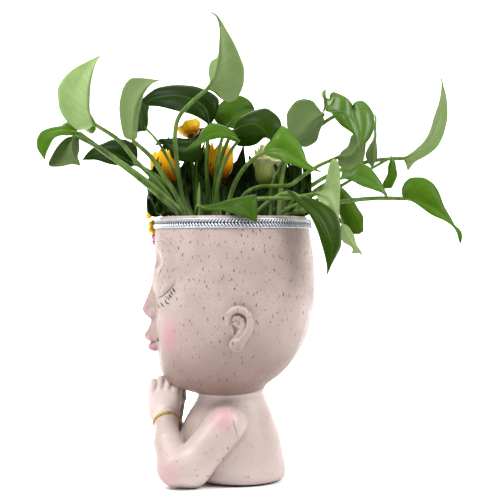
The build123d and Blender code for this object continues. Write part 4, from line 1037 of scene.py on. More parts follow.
class Soup:
    """Collects pieces of mesh with their vertex values into one object."""

    def __init__(self, *keys):
        self.v, self.q, self.p, self.n = [], [], [], 0
        self.keys, self.a = keys, {k: [] for k in keys}

    def add(self, V, Q, poly=(), **values):
        self.v.append(V)
        self.q.append(np.asarray(Q, np.int64) + self.n)
        self.p += [[i + self.n for i in p] for p in poly]
        for k in self.keys:
            self.a[k].append(np.broadcast_to(np.asarray(values.get(k, 0.0), float), (len(V),)))
        self.n += len(V)

    def make(self, name, material, body, node=None, slot=None, **more):
        return make(name, np.concatenate(self.v), [np.concatenate(self.q)], material, body, node, slot,
                    {k: np.concatenate(v) for k, v in self.a.items()}, extra=self.p, **more)


def arc_through(a, m, b, n):
    """Points on the circle through three points."""
    a, m, b = (np.asarray(p, float) for p in (a, m, b))
    u, v = m - a, b - a
    w = np.cross(u, v)
    if np.linalg.norm(w) < 1e-6 * np.linalg.norm(u) * np.linalg.norm(v):
        return a + np.linspace(0, 1, n)[:, None] * v
    c = a + (np.cross(w, u) * (v @ v) + np.cross(v, w) * (u @ u)) / (2 * (w @ w))
    e1 = (a - c) / np.linalg.norm(a - c)
    e2 = np.cross(unit(w), e1)
    end = math.atan2((b - c) @ e2, (b - c) @ e1) % (2 * PI)
    t = np.linspace(0, end, n)
    R = np.linalg.norm(a - c)
    return c + R * (np.cos(t)[:, None] * e1 + np.sin(t)[:, None] * e2)


def blade(L, width, bow, fl=14, fr=14, droop=0.42, drop=0.1, swing=0.0, bend=0.0, wave=0.7, left=0.5,
          outline=OUTLINE, rows=36, cols=9, thick=0.62, phase=0.0, rib=0.9, veins=10.0):
    """A thin closed leaf blade in its own frame: x along the midrib, z up. Returns vertices, quads and vein places."""
    o = np.array(outline)
    run = np.concatenate([[0], np.cumsum(np.hypot(*(np.diff(o, axis=0) * [L, width]).T))])
    run /= run[-1]
    t = np.linspace(0, 1, rows) ** 0.92
    ox, oy = pchip(run, o[:, 0], t), pchip(run, o[:, 1], t)
    mx = 0.02 + 0.98 * np.clip((t - 0.20) / 0.80, 0, 1) ** 1.15
    s = np.linspace(0, 1, cols + 1) ** 0.85
    S = np.concatenate([-s[::-1], s[1:]])
    A, G = np.abs(S)[None], np.sign(S)[None]
    X = mx[:, None] * (1 - A) + ox[:, None] * A + 0.05 * np.sin(PI * A) * (t * (1 - t) * 4)[:, None]
    tt = t[:, None]
    w = width / 2
    ay = oy[:, None] * A * width * np.where(S < 0, 2 * left, 2 * (1 - left))[None]
    turn = np.radians(np.where(S < 0, fl, fr))[None] * step01(ay / 3.0 + 0.15) * (1 - 0.25 * X)
    n = -droop * ay * ay / w * (1 - 0.3 * X)
    n = n + wave * A ** 3 * np.sin(2 * PI * (2.3 * tt + 0.13 * G) + phase) * (1 - X) * 1.2
    n = n + 0.15 * np.abs(np.sin(PI * veins * tt)) * np.sin(PI * A)
    y = G * (ay * np.cos(turn) - n * np.sin(turn))
    x = X * L
    R = L * L / (8 * bow) + bow / 2
    H = np.sqrt(np.maximum(R * R - (x - L / 2) ** 2, (R * 0.2) ** 2)) - (R - bow)
    H = H + ay * np.sin(turn) + n * np.cos(turn)
    H = H - 0.55 * np.exp(-((ay / 1.1) ** 2)) * (1 - X)
    u = np.clip((X - 0.62) / 0.38, 0, 1.2)
    H = H - drop * L * u * u * 0.6
    c = np.clip(X, 0, 1.0)
    y = y + swing * L * u * u + bend * L * 4 * c * (1 - c)
    P = np.stack([x, y, H], -1)
    # Thickness along the surface's own normal.
    du, dv = np.gradient(P, axis=0), np.gradient(P, axis=1)
    N = np.cross(du, dv)
    size = np.linalg.norm(N, axis=-1, keepdims=True)
    N = np.where(size > 1e-9, N / np.maximum(size, 1e-9), [0, 0, 1.0])
    th = (thick * 0.5 * (1 - 0.75 * A ** 4) * np.ones_like(x))[..., None]
    ridge = (rib * np.exp(-(ay / 1.0) ** 2) * np.clip(1.05 - X, 0, 1))[..., None]
    top, low = P + N * th, P - N * (th + ridge)
    n_, m = x.shape
    V = np.concatenate([top.reshape(-1, 3), low.reshape(-1, 3)])
    i, j = np.meshgrid(np.arange(n_ - 1), np.arange(m - 1), indexing="ij")
    a = (i * m + j).ravel()
    up = np.stack([a, a + m, a + m + 1, a + 1], 1)
    dn = up[:, ::-1] + n_ * m
    k = np.arange(n_ - 1) * m
    l = np.stack([k, k + n_ * m, k + m + n_ * m, k + m], 1)
    k = k + m - 1
    r = np.stack([k, k + m, k + m + n_ * m, k + n_ * m], 1)
    Q = np.concatenate([up, dn, l, r])
    vs = np.broadcast_to(A, x.shape).ravel()
    vt = np.broadcast_to(tt, x.shape).ravel()
    return V, Q, np.concatenate([vs, vs]), np.concatenate([vt, vt]), np.concatenate([np.zeros(n_ * m), np.ones(n_ * m)])


def weld(o, dist=2e-6):
    """Merges the rows that meet at a blade's ends."""
    import bmesh
    b = bmesh.new()
    b.from_mesh(o.data)
    bmesh.ops.remove_doubles(b, verts=b.verts, dist=dist)
    bmesh.ops.dissolve_degenerate(b, edges=b.edges, dist=dist / 2)
    b.to_mesh(o.data)
    b.free()
    o.data.update()


def curve_through(P, n):
    """A smooth line through points, evenly spread."""
    P = np.asarray(P, float)
    run = np.concatenate([[0], np.cumsum(np.linalg.norm(np.diff(P, axis=0), axis=1))])
    t = np.linspace(0, run[-1], n)
    return np.stack([pchip(run, P[:, k], t) for k in range(P.shape[1])], 1)


def curve_on(points, t):
    P = np.asarray(points, float)
    run = np.concatenate([[0], np.cumsum(np.linalg.norm(np.diff(P, axis=0), axis=1))])
    return np.stack([pchip(run / run[-1], P[:, k], t) for k in range(3)], 1)


def leaf_sheet(mid, one, two, under, arch, rows=40, cols=10, thick=0.62, phase=0.0):
    """A blade between two edge curves, its halves arched on both sides of the midrib."""
    t = np.linspace(0, 1, rows)
    M = curve_on(mid, np.clip((t - 0.10) / 0.90, 0, 1) ** 1.08)
    A, B = curve_on(one, t), curve_on(two, t)
    s = np.linspace(0, 1, cols + 1) ** 0.85
    S = np.concatenate([-s[::-1], s[1:]])
    W = np.abs(S)[None, :, None]
    E = np.where((S < 0)[None, :, None], A[:, None], B[:, None])
    P = M[:, None] * (1 - W) + E * W
    N = np.cross(np.gradient(P, axis=0), np.gradient(P, axis=1))
    size = np.linalg.norm(N, axis=-1, keepdims=True)
    N = np.where(size > 1e-7, N / np.maximum(size, 1e-9), 0.0)
    near = 1.0 if (N[..., 0] * size[..., 0]).sum() > 0 else -1.0
    N = N * near
    for _ in range(6):
        N[1:-1] = (N[1:-1] * 2 + N[:-2] + N[2:]) / 4
        N[:, 1:-1] = (N[:, 1:-1] * 2 + N[:, :-2] + N[:, 2:]) / 4
        N[0] = N[1]
        N[-1] = N[-2]
        N /= np.maximum(np.linalg.norm(N, axis=-1, keepdims=True), 1e-9)
    half = np.linalg.norm(E - M[:, None], axis=-1, keepdims=True)
    top = 1.0 - 2.0 * under
    P = P + N * (arch * half / 14.0 * np.sin(PI * W ** 0.9))
    wave = np.sin(2 * PI * (2.6 * t + 0.2 * phase))[:, None, None] * np.where((S < 0)[None, :, None], 1.0, -0.8)
    P = P + N * (0.55 * W ** 3 * wave * (np.sin(PI * t) ** 0.5)[:, None, None])
    tt = t[:, None, None]
    P = P + N * (top * 0.05 * np.abs(np.sin(PI * 10 * tt + 1.4 * W)) * np.sin(PI * W))
    rib = 0.8 * np.exp(-(half * W / 0.9) ** 2) * np.clip(1.05 - tt, 0, 1)
    th = thick * 0.5 * (1 - 0.75 * W ** 4)
    high, low = P + N * (th + rib * under), P - N * (th + rib * (1 - under))
    n, m = P.shape[:2]
    V = np.concatenate([high.reshape(-1, 3), low.reshape(-1, 3)])
    i, j = np.meshgrid(np.arange(n - 1), np.arange(m - 1), indexing="ij")
    a = (i * m + j).ravel()
    up = np.stack([a, a + m, a + m + 1, a + 1], 1)
    dn = up[:, ::-1] + n * m
    k = np.arange(n - 1) * m
    l = np.stack([k, k + n * m, k + m + n * m, k + m], 1)
    k = k + m - 1
    r = np.stack([k, k + m, k + m + n * m, k + n * m], 1)
    Q = np.concatenate([up, dn, l, r])
    if near < 0:
        Q = Q[:, ::-1]
    vs = np.broadcast_to(W[..., 0], (n, m)).ravel()
    vt = np.broadcast_to(t[:, None], (n, m)).ravel()
    side = np.concatenate([np.full(n * m, float(under)), np.full(n * m, 1.0 - under)])
    return V, Q, np.tile(vs, 2), np.tile(vt, 2), side, -N[1, cols] * top


LEAF = leaf_material()
KEYS = ("under", "tone", "stalk", "vein_t", "vein_s", "foot", "gloss")
GLOSS = {"right_glossy": 0.34, "centre_fold": 0.16, "right_mid": 0.16}
SHAPES = {b[0]: b for b in BLADES}
# Stalks that are seen: points between the soil and the joint.
STEMS = {
    "far_left_tip": [(4, -34.9, 236.5, 4.2), (6, -50, 252.2, 4), (8, -58.9, 260.6, 3.6), (12, -84, 280.4, 2.6), (16, -106.3, 296.1, 2.4)],
    "far_left_low": [(10, -37.3, 238.2, 1.8), (12, -53.3, 254.2, 1.7), (20, -86.4, 280.4, 1.6), (26, -107.1, 296, 1.5)],
    "far_left_high": [(-2, -39.7, 243.9, 2.3), (0, -50.4, 260, 2.2), (3, -61.9, 272.4, 2.1), (8, -74.6, 285.2, 2), (16, -89.5, 303.4, 2)],
    "left_upright": [(10, -31.9, 238.2, 2.2), (14, -38.4, 253.6, 2.2), (22, -52.1, 275.9, 2.1), (28, -60.2, 287.9, 2.1)],
    "left_inner": [(-10, -31, 246.8, 1.4), (-14, -38.1, 268.6, 1.3), (-18, -43, 279.3, 1.3), (-24, -57.9, 305.9, 1.2)],
    "right_glossy": [(-9, 54.6, 260.4, 2), (-15, 57.5, 278.8, 2), (-24, 62.2, 293.6, 1.9), (-28, 70.1, 302.8, 1.9), (-29, 82.4, 314, 1.9), (-24, 94.4, 322.4, 1.9), (-12, 102.6, 326.9, 1.9)],
    "right_round": [(-16, 56.2, 260.7, 1.9), (-18, 53.5, 277.2, 1.9), (-20, 61.7, 291.9, 1.8), (-24, 69.2, 301.3, 1.8), (-25, 76.5, 308.7, 1.7), (-22, 87.4, 321.3, 1.7)],
    "right_bud": [(-18, 46.5, 262, 1.4), (-22, 53, 279, 1.4), (-26, 62, 295, 1.3), (-29, 72, 307, 1.3), (-27, 84, 320, 1.3), (-18, 90.5, 327, 1.3)],
    "right_hang": [(8, 18, 246, 2), (18, 24, 257, 2), (22, 40, 262.5, 1.9), (20, 58.9, 262.8, 1.9), (12, 76.4, 273.9, 1.8), (6, 87.9, 281.2, 1.8)],
    "right_vertical": [(18, 20, 246, 2.1), (30, 26, 250, 2), (36, 40, 251, 2), (36, 60.6, 251.5, 1.9), (34, 74, 253.5, 1.9)],
    "top_tall": [(0, -32.4, 246.5, 2), (4, -38.5, 286.8, 2), (4, -40.3, 306.5, 2), (5, -39.3, 318.1, 2), (6, -35.7, 326.9, 2), (8, -26.7, 336.6, 2), (9, -18.6, 343.6, 2)],
}
for row_no, (name, base, tip, width, facing, bow, foot, mid, r) in enumerate(LEAVES):
    _, tone, under, arch, rib_line, one, two = SHAPES[name]
    soup = Soup(*KEYS)
    V, Q, vs, vt, side, below = leaf_sheet(rib_line, one, two, under, arch, phase=row_no * 1.7)
    soup.add(V, Q, under=side, tone=tone, vein_t=vt, vein_s=vs, gloss=GLOSS.get(name, 0.0))
    if name + "+" in SHAPES:
        _, tone2, under2, arch2, rib2, one2, two2 = SHAPES[name + "+"]
        V, Q, vs, vt, side, _ = leaf_sheet(rib2, one2, two2, under2, arch2, phase=3.0)
        soup.add(V, Q, under=side, tone=tone2, vein_t=vt, vein_s=vs)
    b = np.array(rib_line[0])
    first = [foot[0], foot[1], SOIL_Z - 2.5]
    inner = np.array([curve_on(rib_line, np.array([v]))[0] for v in (0.04, 0.10, 0.17)]) + below * np.array([[0.7], [0.5], [0.1]])
    if name in STEMS:
        rows = [p[:3] for p in STEMS[name]]
        P = curve_through([first] + rows + [list(b + below * 0.8)], 36)
        thick = np.interp(np.linspace(0, 1, 36), np.linspace(0, 1, len(rows) + 2), [STEMS[name][0][3]] + [q[3] for q in STEMS[name]] + [STEMS[name][-1][3] * 0.9])
        P = np.concatenate([P, inner])
        rr = np.concatenate([thick, thick[-1] * np.array([0.8, 0.6, 0.25])])
        u = np.linspace(0, 1, len(P))
    else:
        P = np.concatenate([arc_through(first, mid, b + below * 0.8, 30), inner])
        u = np.linspace(0, 1, len(P))
        rr = 1.35 * r * (1.18 - 0.42 * u)
        rr[-3:] = [r * 0.70, r * 0.52, r * 0.22]
    rr = np.array(rr)
    rr[:3] *= [1.35, 1.22, 1.08]
    sv, sq, sp = sweep(P, rr, 10)
    soup.add(sv, sq, sp, stalk=1.0, tone=0.85 if name in ("far_left_tip", "rim_long") else tone, foot=np.repeat(np.clip(1 - u * 3.2, 0, 1), 10))
    o = soup.make("blade_" + name, LEAF, "plant", "leaf_" + name, "leaf")
    weld(o)

# The new leaf, still rolled.
P = arc_through((9.0, -21.0, SOIL_Z - 1), (8.8, -19.2, 246.0), (8.0, -18.5, 267.0), 26)
u = np.linspace(0, 1, 26)
sv, sq, sp = sweep(P, 2.5 * (1 - 0.55 * u) * (1 - 0.75 * np.clip((u - 0.8) / 0.2, 0, 1)) * (1 + 0.05 * np.sin(u * 30)), 12, flat=0.8)
soup = Soup(*KEYS)
soup.add(sv, sq, sp, tone=0.9, under=0.6, vein_s=0.6, vein_t=np.repeat(u, 12))
soup.make("new_leaf", LEAF, "plant", "leaf_rolled", "new_leaf")

# ---- fine painted lines on the face -------------------------------------------------------------

EYE_X = 1300.0


def on_head(points, field=None, hi=96.0):
    """Where lines drawn on the side view meet the head: pixel places to points and normals."""
    out, nor = [], []
    field = field or head_skin
    xs = np.arange(hi, -20.0, -0.4)
    for px, py in points:
        k = (EYE_X - xs) / 1444.4
        P = np.stack([xs, 27 + (px - 250) * k, 206 - (py - 250) * k], 1)
        d = field(P)
        hit = np.nonzero(d < 0)[0]
        if not len(hit) or hit[0] == 0:
            continue
        i = hit[0]
        t = d[i - 1] / (d[i - 1] - d[i])
        q = P[i - 1] + t * (P[i] - P[i - 1])
        e = 0.3
        g = np.array([(field((q + v)[None]) - field((q - v)[None]))[0] for v in np.eye(3) * e])
        out.append(q)
        nor.append(unit(g))
    return np.array(out), np.array(nor)


def stroke(soup, pixels, width, n=14, ends=(0.25, 0.12), lift=0.02, flat=0.34, field=None, sides=(1.0, -1.0), **values):
    """A raised line of paint, thinner at its ends, on both sides of the face."""
    C = curve_through(pixels, n)
    P, N = on_head(C, field)
    if len(P) < 4:
        return
    for sign in sides:
        A = P * [sign, 1, 1]
        M = N * [sign, 1, 1]
        u = np.linspace(0, 1, len(A))
        r = width / 2 * (ends[0] + (1 - ends[0]) * np.clip(u / 0.3, 0, 1)) * (ends[1] + (1 - ends[1]) * np.clip((1 - u) / 0.45, 0, 1))
        T = np.gradient(A, axis=0)
        T /= np.linalg.norm(T, axis=1)[:, None]
        W = np.cross(T, M)
        a = np.linspace(0, 2 * PI, 6, endpoint=False)
        V = (A + M * lift)[:, None] + r[:, None, None] * (flat * np.cos(a)[None, :, None] * M[:, None] + np.sin(a)[None, :, None] * W[:, None])
        k = len(A)
        i, j = np.arange(k - 1)[:, None], np.arange(6)[None]
        Q = np.stack([i * 6 + j, i * 6 + (j + 1) % 6, (i + 1) * 6 + (j + 1) % 6, (i + 1) * 6 + j], -1).reshape(-1, 4)
        poly = [list(range(6))[::-1], [(k - 1) * 6 + q for q in range(6)]]
        if sign > 0:
            Q, poly = Q[:, ::-1], [q[::-1] for q in poly]
        soup.add(V.reshape(-1, 3), Q, poly, **values)


def line_material():
    m = Mat("painted_line")
    deep = m.attr("deep")
    col = m.mix(deep, lin((122, 94, 84)), lin((12, 8, 8)))
    col = m.mix(m.map(m.noise(900.0, 2.0), 0.4, 0.7, 0.0, 0.16), col, lin((92, 70, 62)))
    return m.set(color=col, rough=0.5, normal=m.bump(m.noise(1500.0, 2.0), 0.0002, 0.2))


LINES = line_material()
LASHES = [
    ([(157.7, 304.0), (158.6, 306.0), (160.3, 308.2)], 1.33, 0.70),
    ([(160.6, 302.6), (162.4, 305.0), (164.3, 306.9)], 1.50, 1.00),
    ([(164.9, 299.2), (165.6, 301.8), (167.2, 303.4), (169.3, 304.0)], 1.68, 1.00),
    ([(165.2, 296.0), (166.0, 297.2), (167.0, 298.6)], 1.06, 0.75),
    ([(167.6, 296.4), (168.4, 298.4), (169.7, 299.9)], 1.42, 1.00),
    ([(168.9, 294.2), (170.2, 296.2), (171.9, 297.8)], 1.77, 1.00),
    ([(170.4, 291.0), (171.6, 293.4), (173.2, 295.3)], 1.68, 1.00),
    ([(172.4, 288.3), (173.8, 290.4), (175.5, 292.2)], 1.94, 1.00),
]
soup = Soup("deep")
for pixels, width, deep in LASHES:
    stroke(soup, pixels, width * 1.12, 10, (0.5, 0.32), deep=deep)
stroke(soup, [(157.4, 297.2), (161.4, 296.6), (165.4, 293.7), (169.0, 290.5), (172.0, 286.8), (174.2, 284.0)], 1.05, 26, (0.3, 0.2), deep=0.78)
# A soft dark stroke of painted shade along the lid's edge beside the nose.
stroke(soup, [(165.0, 263.0), (162.0, 268.0), (159.2, 275.0), (157.6, 284.0)], 0.7, 20, (0.3, 0.1), deep=0.22)
stroke(soup, [(156.6, 242.4), (160.4, 241.2), (164.0, 242.5), (168.0, 245.5), (170.6, 248.8)], 0.42, 22, (0.3, 0.1), deep=0.16)
stroke(soup, [(156.9, 239.8), (161.0, 236.4), (166.6, 238.3), (172.0, 244.4), (175.4, 250.0), (176.6, 255.4)], 0.36, 30, (0.3, 0.1), deep=0.12)
stroke(soup, [(157.2, 245.4), (160.2, 244.2), (163.6, 245.6), (166.6, 248.6)], 0.3, 16, (0.3, 0.1), deep=0.1)
stroke(soup, [(232.7, 417.4), (233.6, 423.0), (235.9, 430.0), (237.7, 440.6)], 0.55, 24, (0.3, 0.1), field=body_solid, sides=(1.0,), deep=0.5)
soup.make("face_lines", LINES, "planter", None, "painted_resin")

# ---- headband and bracelets ---------------------------------------------------------------------


def on_rim(t, z, off):
    """Points round the head at an angle and height, pushed out square to its outline."""
    t, z = np.broadcast_arrays(np.asarray(t, float), np.asarray(z, float))
    y0, s, w = HEAD.at(z)
    n = np.stack([np.cos(t) / w, np.sin(t) / s, 0 * t], -1)
    n /= np.linalg.norm(n, axis=-1, keepdims=True)
    return np.stack([w * np.cos(t), y0 + s * np.sin(t), z], -1) + np.asarray(off)[..., None] * n


def metal(name, dark, light, shine, rough):
    m = Mat(name)
    up = m.attr("up")
    grime = m.map(m.noise(500.0, 3.0), 0.35, 0.65)
    # 'up' sets the colour from dark to light: low in the recesses, high on the raised strands and their upper sides, so
    # the dark is painted shade and the light is painted light.
    col = m.mix(m.map(up, 0.15, 0.9), lin(dark), lin(light))
    col = m.mix(m.math("MULTIPLY", grime, 0.28), col, lin(dark))
    n = m.bump(m.noise(1100.0, 3.0), 0.0003, 0.25)
    return m.set(color=col, rough=m.map(up, 0.0, 1.0, 0.62, rough), metal=shine, normal=n)


# Both paints are darker in the braid's recesses and lighter on the strands' upper sides: painted shade and painted
# light.
SILVER = metal("silver_paint_painted_shade", (92, 95, 102), (226, 230, 236), 0.55, 0.34)
GOLD = metal("gold_paint", (100, 74, 26), (214, 178, 88), 0.7, 0.32)


def headband():
    soup = Soup("up")
    n = 220
    t = np.linspace(0, 2 * PI, n, endpoint=False)
    ring = [(225.3, -0.9), (225.1, 0.7), (226.0, 1.15), (229.2, 0.85), (232.4, 1.15), (233.3, 0.7), (233.2, -0.9)]
    V = np.stack([on_rim(t, z, off) for z, off in ring], 1).reshape(-1, 3)
    m = len(ring)
    i, j = np.arange(n)[:, None], np.arange(m)[None]
    Q = np.stack([i * m + j, ((i + 1) % n) * m + j, ((i + 1) % n) * m + (j + 1) % m, i * m + (j + 1) % m], -1).reshape(-1, 4)
    # The sunken middle of the band gets painted shade; its raised edges are lighter.
    soup.add(V, Q, up=np.tile([0, 0.3, 0.1, 0.0, 0.1, 0.3, 0], n))
    for z in (225.6, 232.8):
        sv, sq, sp = sweep(on_rim(t, z, 1.1), 0.55, 8, closed=True)
        soup.add(sv, sq, up=0.75)
    count = 150
    for k in range(count):
        t0 = 2 * PI * k / count
        for up in (1.0, -1.0):
            u = np.linspace(0, 1, 7)
            a = t0 + 0.041 * u + (0.0 if up > 0 else 0.004)
            z = 229.2 + up * (0.15 + 3.15 * u ** 0.9)
            P = on_rim(a, z, 1.45 + 0.5 * np.sin(PI * np.clip(u + 0.1, 0, 1)))
            r = 0.92 * np.sqrt(np.clip(np.sin(PI * (0.10 + 0.80 * u)), 0.05, 1))
            sv, sq, sp = sweep(P, r, 7, flat=0.95)
            # Painted light on the upper side of each strand, painted shade on the side beneath.
            lift = np.tile(0.35 + 0.65 * np.clip(np.cos(np.linspace(0, 2 * PI, 7, endpoint=False)), 0, 1), 7)
            soup.add(sv, sq, sp, up=np.clip(lift, 0, 1) * 0.9 + 0.1)
    # The ends meet at the back under three turns of cord.
    for a in (1.585, 1.612, 1.639):
        loop = np.linspace(0, 2 * PI, 22, endpoint=False)
        P = on_rim(a + 0 * loop, 229.2 + 4.3 * np.cos(loop), 1.0 + 1.25 * np.sin(loop))
        sv, sq, sp = sweep(P, 0.72, 8, closed=True)
        soup.add(sv, sq, up=0.6)
    soup.make("headband_braid", SILVER, "planter", "headband", "silver_paint")


def bracelet(side):
    """A three-strand braid that hugs the wrist, in a plane square to the forearm."""
    arm = arm_left if side > 0 else arm_right
    C = np.array([17.0 * side, -47.2 + (3.4 if side < 0 else 0.0), 53.0])
    axis = unit([-16.0 * side, -7.0, 17.7])
    e1 = unit(np.cross(axis, [0, 0, 1.0]))
    e2 = np.cross(axis, e1)
    th = np.linspace(0, 2 * PI, 120, endpoint=False)
    D = np.cos(th)[:, None] * e1 + np.sin(th)[:, None] * e2
    rr = np.arange(5.0, 18.0, 0.1)
    F = arm((C + rr[None, :, None] * D[:, None]).reshape(-1, 3)).reshape(len(th), len(rr))
    first = np.array([rr[np.nonzero(f > 0.0)[0][0]] if (f > 0).any() else 12.0 for f in F])
    r = first.copy()
    for _ in range(60):
        r = np.maximum(first, (np.roll(r, 1) + np.roll(r, -1)) / 2 * 0.5 + r * 0.5)
    soup = Soup("up")
    n = 360
    a = np.linspace(0, 2 * PI, n, endpoint=False)
    R = np.interp(a, np.append(th, 2 * PI), np.append(r, r[0]))
    turns = 13
    for k in range(3):
        f = a * turns + 2 * PI * k / 3
        off = R + 0.45 + 0.26 * np.sin(2 * f)
        P = C + off[:, None] * (np.cos(a)[:, None] * e1 + np.sin(a)[:, None] * e2) + (0.88 * np.sin(f))[:, None] * axis
        sv, sq, sp = sweep(P, 0.47, 8, closed=True)
        # Painted shade in the braid's recesses and on its inner ring, painted light where the strands stand out.
        soup.add(sv, sq, up=np.repeat(0.55 + 0.45 * np.sin(2 * f), 8))
    sv, sq, sp = sweep(C + (R + 0.15)[::3, None] * (np.cos(a[::3])[:, None] * e1 + np.sin(a[::3])[:, None] * e2), 0.6, 8, closed=True)
    soup.add(sv, sq, up=0.0)
    name = "left" if side > 0 else "right"
    soup.make(name + "_bracelet_braid", GOLD, "planter", name + "_bracelet", "gold_paint")


headband()
bracelet(1.0)
bracelet(-1.0)

# ---- flowers and garland ------------------------------------------------------------------------


def slab(P, thick):
    """Closes a grid of points into a thin solid sheet. thick is a number or one value per point."""
    du, dv = np.gradient(P, axis=0), np.gradient(P, axis=1)
    N = np.cross(du, dv)
    size = np.linalg.norm(N, axis=-1, keepdims=True)
    N = np.where(size > 1e-9, N / np.maximum(size, 1e-9), [0, 0, 1.0])
    th = (np.asarray(thick, float) * np.ones(P.shape[:2]) / 2)[..., None]
    top, low = P + N * th, P - N * th
    n, m = P.shape[:2]
    V = np.concatenate([top.reshape(-1, 3), low.reshape(-1, 3)])
    i, j = np.meshgrid(np.arange(n - 1), np.arange(m - 1), indexing="ij")
    a = (i * m + j).ravel()
    up = np.stack([a, a + m, a + m + 1, a + 1], 1)
    dn = up[:, ::-1] + n * m
    k = np.arange(n - 1) * m
    l = np.stack([k, k + n * m, k + m + n * m, k + m], 1)
    k = k + m - 1
    r = np.stack([k, k + m, k + m + n * m, k + n * m], 1)
    k = np.arange(m - 1)
    b = np.stack([k, k + 1, k + 1 + n * m, k + n * m], 1)
    k = k + (n - 1) * m
    t = np.stack([k, k + n * m, k + 1 + n * m, k + 1], 1)
    return V, np.concatenate([up, dn, l, r, b, t])


def axes_of(direction):
    z = unit(direction)
    x = unit(np.cross([0.13, 0.97, 0.2], z))
    return np.stack([x, np.cross(z, x), z])


def petal(R, H, angle, half, rnd, base=0.35, top=1.0, belly=0.55, point=0.25, ribs=0.35, curl=0.0, rows=13, cols=9, thick=0.9):
    """One petal of a cup: rows go up it, columns across; the end is pointed and ragged."""
    v = np.linspace(-1, 1, cols)[None]
    u = np.linspace(0, 1, rows)[:, None]
    rag = np.interp(v, np.linspace(-1, 1, 6), rnd.uniform(-0.06, 0.06, 6))
    end = 1.0 - point * np.abs(v) ** 1.6 + rag
    uu = u * end
    prof = pchip([0.0, 0.12, belly, 1.0, 1.3], [base, base + 0.25, 1.0, top, top * 0.95], np.clip(uu, 0, 1.3).ravel()).reshape(uu.shape)
    rad = R * prof
    rad = rad + ribs * np.cos(PI * (3.5 * v + 0.4)) * np.sin(PI * np.clip(uu, 0, 1)) ** 0.5 + curl * np.clip(uu - 0.7, 0, 1) ** 2 * R
    rad = rad + 0.05 * R * (1 - v * v)
    wide = half * (0.55 + 0.45 * np.sin(PI * np.clip(0.18 + 0.62 * uu, 0, 1)))
    a = angle + wide * v
    P = np.stack([rad * np.cos(a), rad * np.sin(a), H * uu + 0 * v], -1)
    V, Q = slab(P, thick * (1 - 0.45 * np.abs(v) ** 3) * np.ones_like(uu))
    return V, Q, np.tile(np.clip(uu, 0, 1.1).ravel(), 2), np.tile(np.broadcast_to(v, uu.shape).ravel(), 2)


def petal_material(name, base, mid, tip, line, rough=0.42):
    m = Mat(name)
    u, v = m.attr("u"), m.attr("v")
    col = m.mix(m.map(u, 0.05, 0.55), lin(base), lin(mid))
    col = m.mix(m.map(u, 0.55, 1.0), col, lin(tip))
    streak = m.math("ABSOLUTE", m.math("SUBTRACT", m.math("FRACT", m.math("ADD", m.math("MULTIPLY", v, 4.0), m.math("MULTIPLY", m.noise(90.0, 2.0), 0.8))), 0.5))
    streak = m.math("MULTIPLY", m.map(streak, 0.16, 0.02), 0.55)
    col = m.mix(streak, col, lin(line))
    col = m.mix(m.map(m.noise(300.0, 3.0), 0.42, 0.7, 0.0, 0.3), col, lin(line))
    n = m.bump(m.noise(500.0, 3.0), 0.0006, 0.35)
    return m.set(color=col, rough=rough, normal=n, spec=0.2, sss=0.05, sss_scale=0.002, sss_radius=(1.0, 0.5, 0.2))


ORANGE = petal_material("orange_petal", (168, 78, 12), (238, 170, 4), (254, 202, 14), (190, 100, 0))
YELLOW = petal_material("yellow_petal", (206, 128, 8), (252, 200, 20), (255, 218, 48), (228, 156, 12))
CREAM = petal_material("cream_petal", (104, 132, 36), (186, 196, 112), (236, 234, 190), (150, 164, 78))
PINK = petal_material("pink_petal", (150, 36, 96), (214, 92, 160), (238, 150, 198), (150, 44, 104), 0.5)


def bloom(name, node, slot, mat, centre, R, H, direction, rings, seed, heart=True, **more):
    rnd = np.random.default_rng(seed)
    A = axes_of(direction)
    C = np.asarray(centre, float)
    soup = Soup("u", "v")
    for count, scale, high, opts in rings:
        a0 = rnd.random() * 2 * PI
        for k in range(count):
            angle = a0 + 2 * PI * (k + rnd.uniform(-0.12, 0.12)) / count
            V, Q, u, v = petal(R * scale, H * high * rnd.uniform(0.93, 1.0), angle, PI / count * rnd.uniform(1.2, 1.35), rnd, **{**more, **opts})
            soup.add(C + V @ A, Q, u=u, v=v)
    if heart:
        # The base cup and a stub that the petals grow from.
        t = np.linspace(0, 2 * PI, 20, endpoint=False)
        rows = [(0.02, -0.05), (0.30, -0.04), (0.42, 0.05), (0.50, 0.16), (0.44, 0.24), (0.03, 0.30)]
        V = np.concatenate([np.stack([R * r * np.cos(t), R * r * np.sin(t), H * h + 0 * t], 1) for r, h in rows])
        i, j = np.meshgrid(np.arange(5), np.arange(20), indexing="ij")
        Q = np.stack([i * 20 + j, i * 20 + (j + 1) % 20, (i + 1) * 20 + (j + 1) % 20, (i + 1) * 20 + j], -1).reshape(-1, 4)
        soup.add(C + V @ A, Q, [list(range(20))[::-1], [100 + k for k in range(20)]], u=0.0)
    return soup.make(name, mat, "planter", node, slot)


def down(centre, direction, h):
    """A flower's foot: the given centre is the middle of its height."""
    return np.asarray(centre, float) - unit(direction) * h


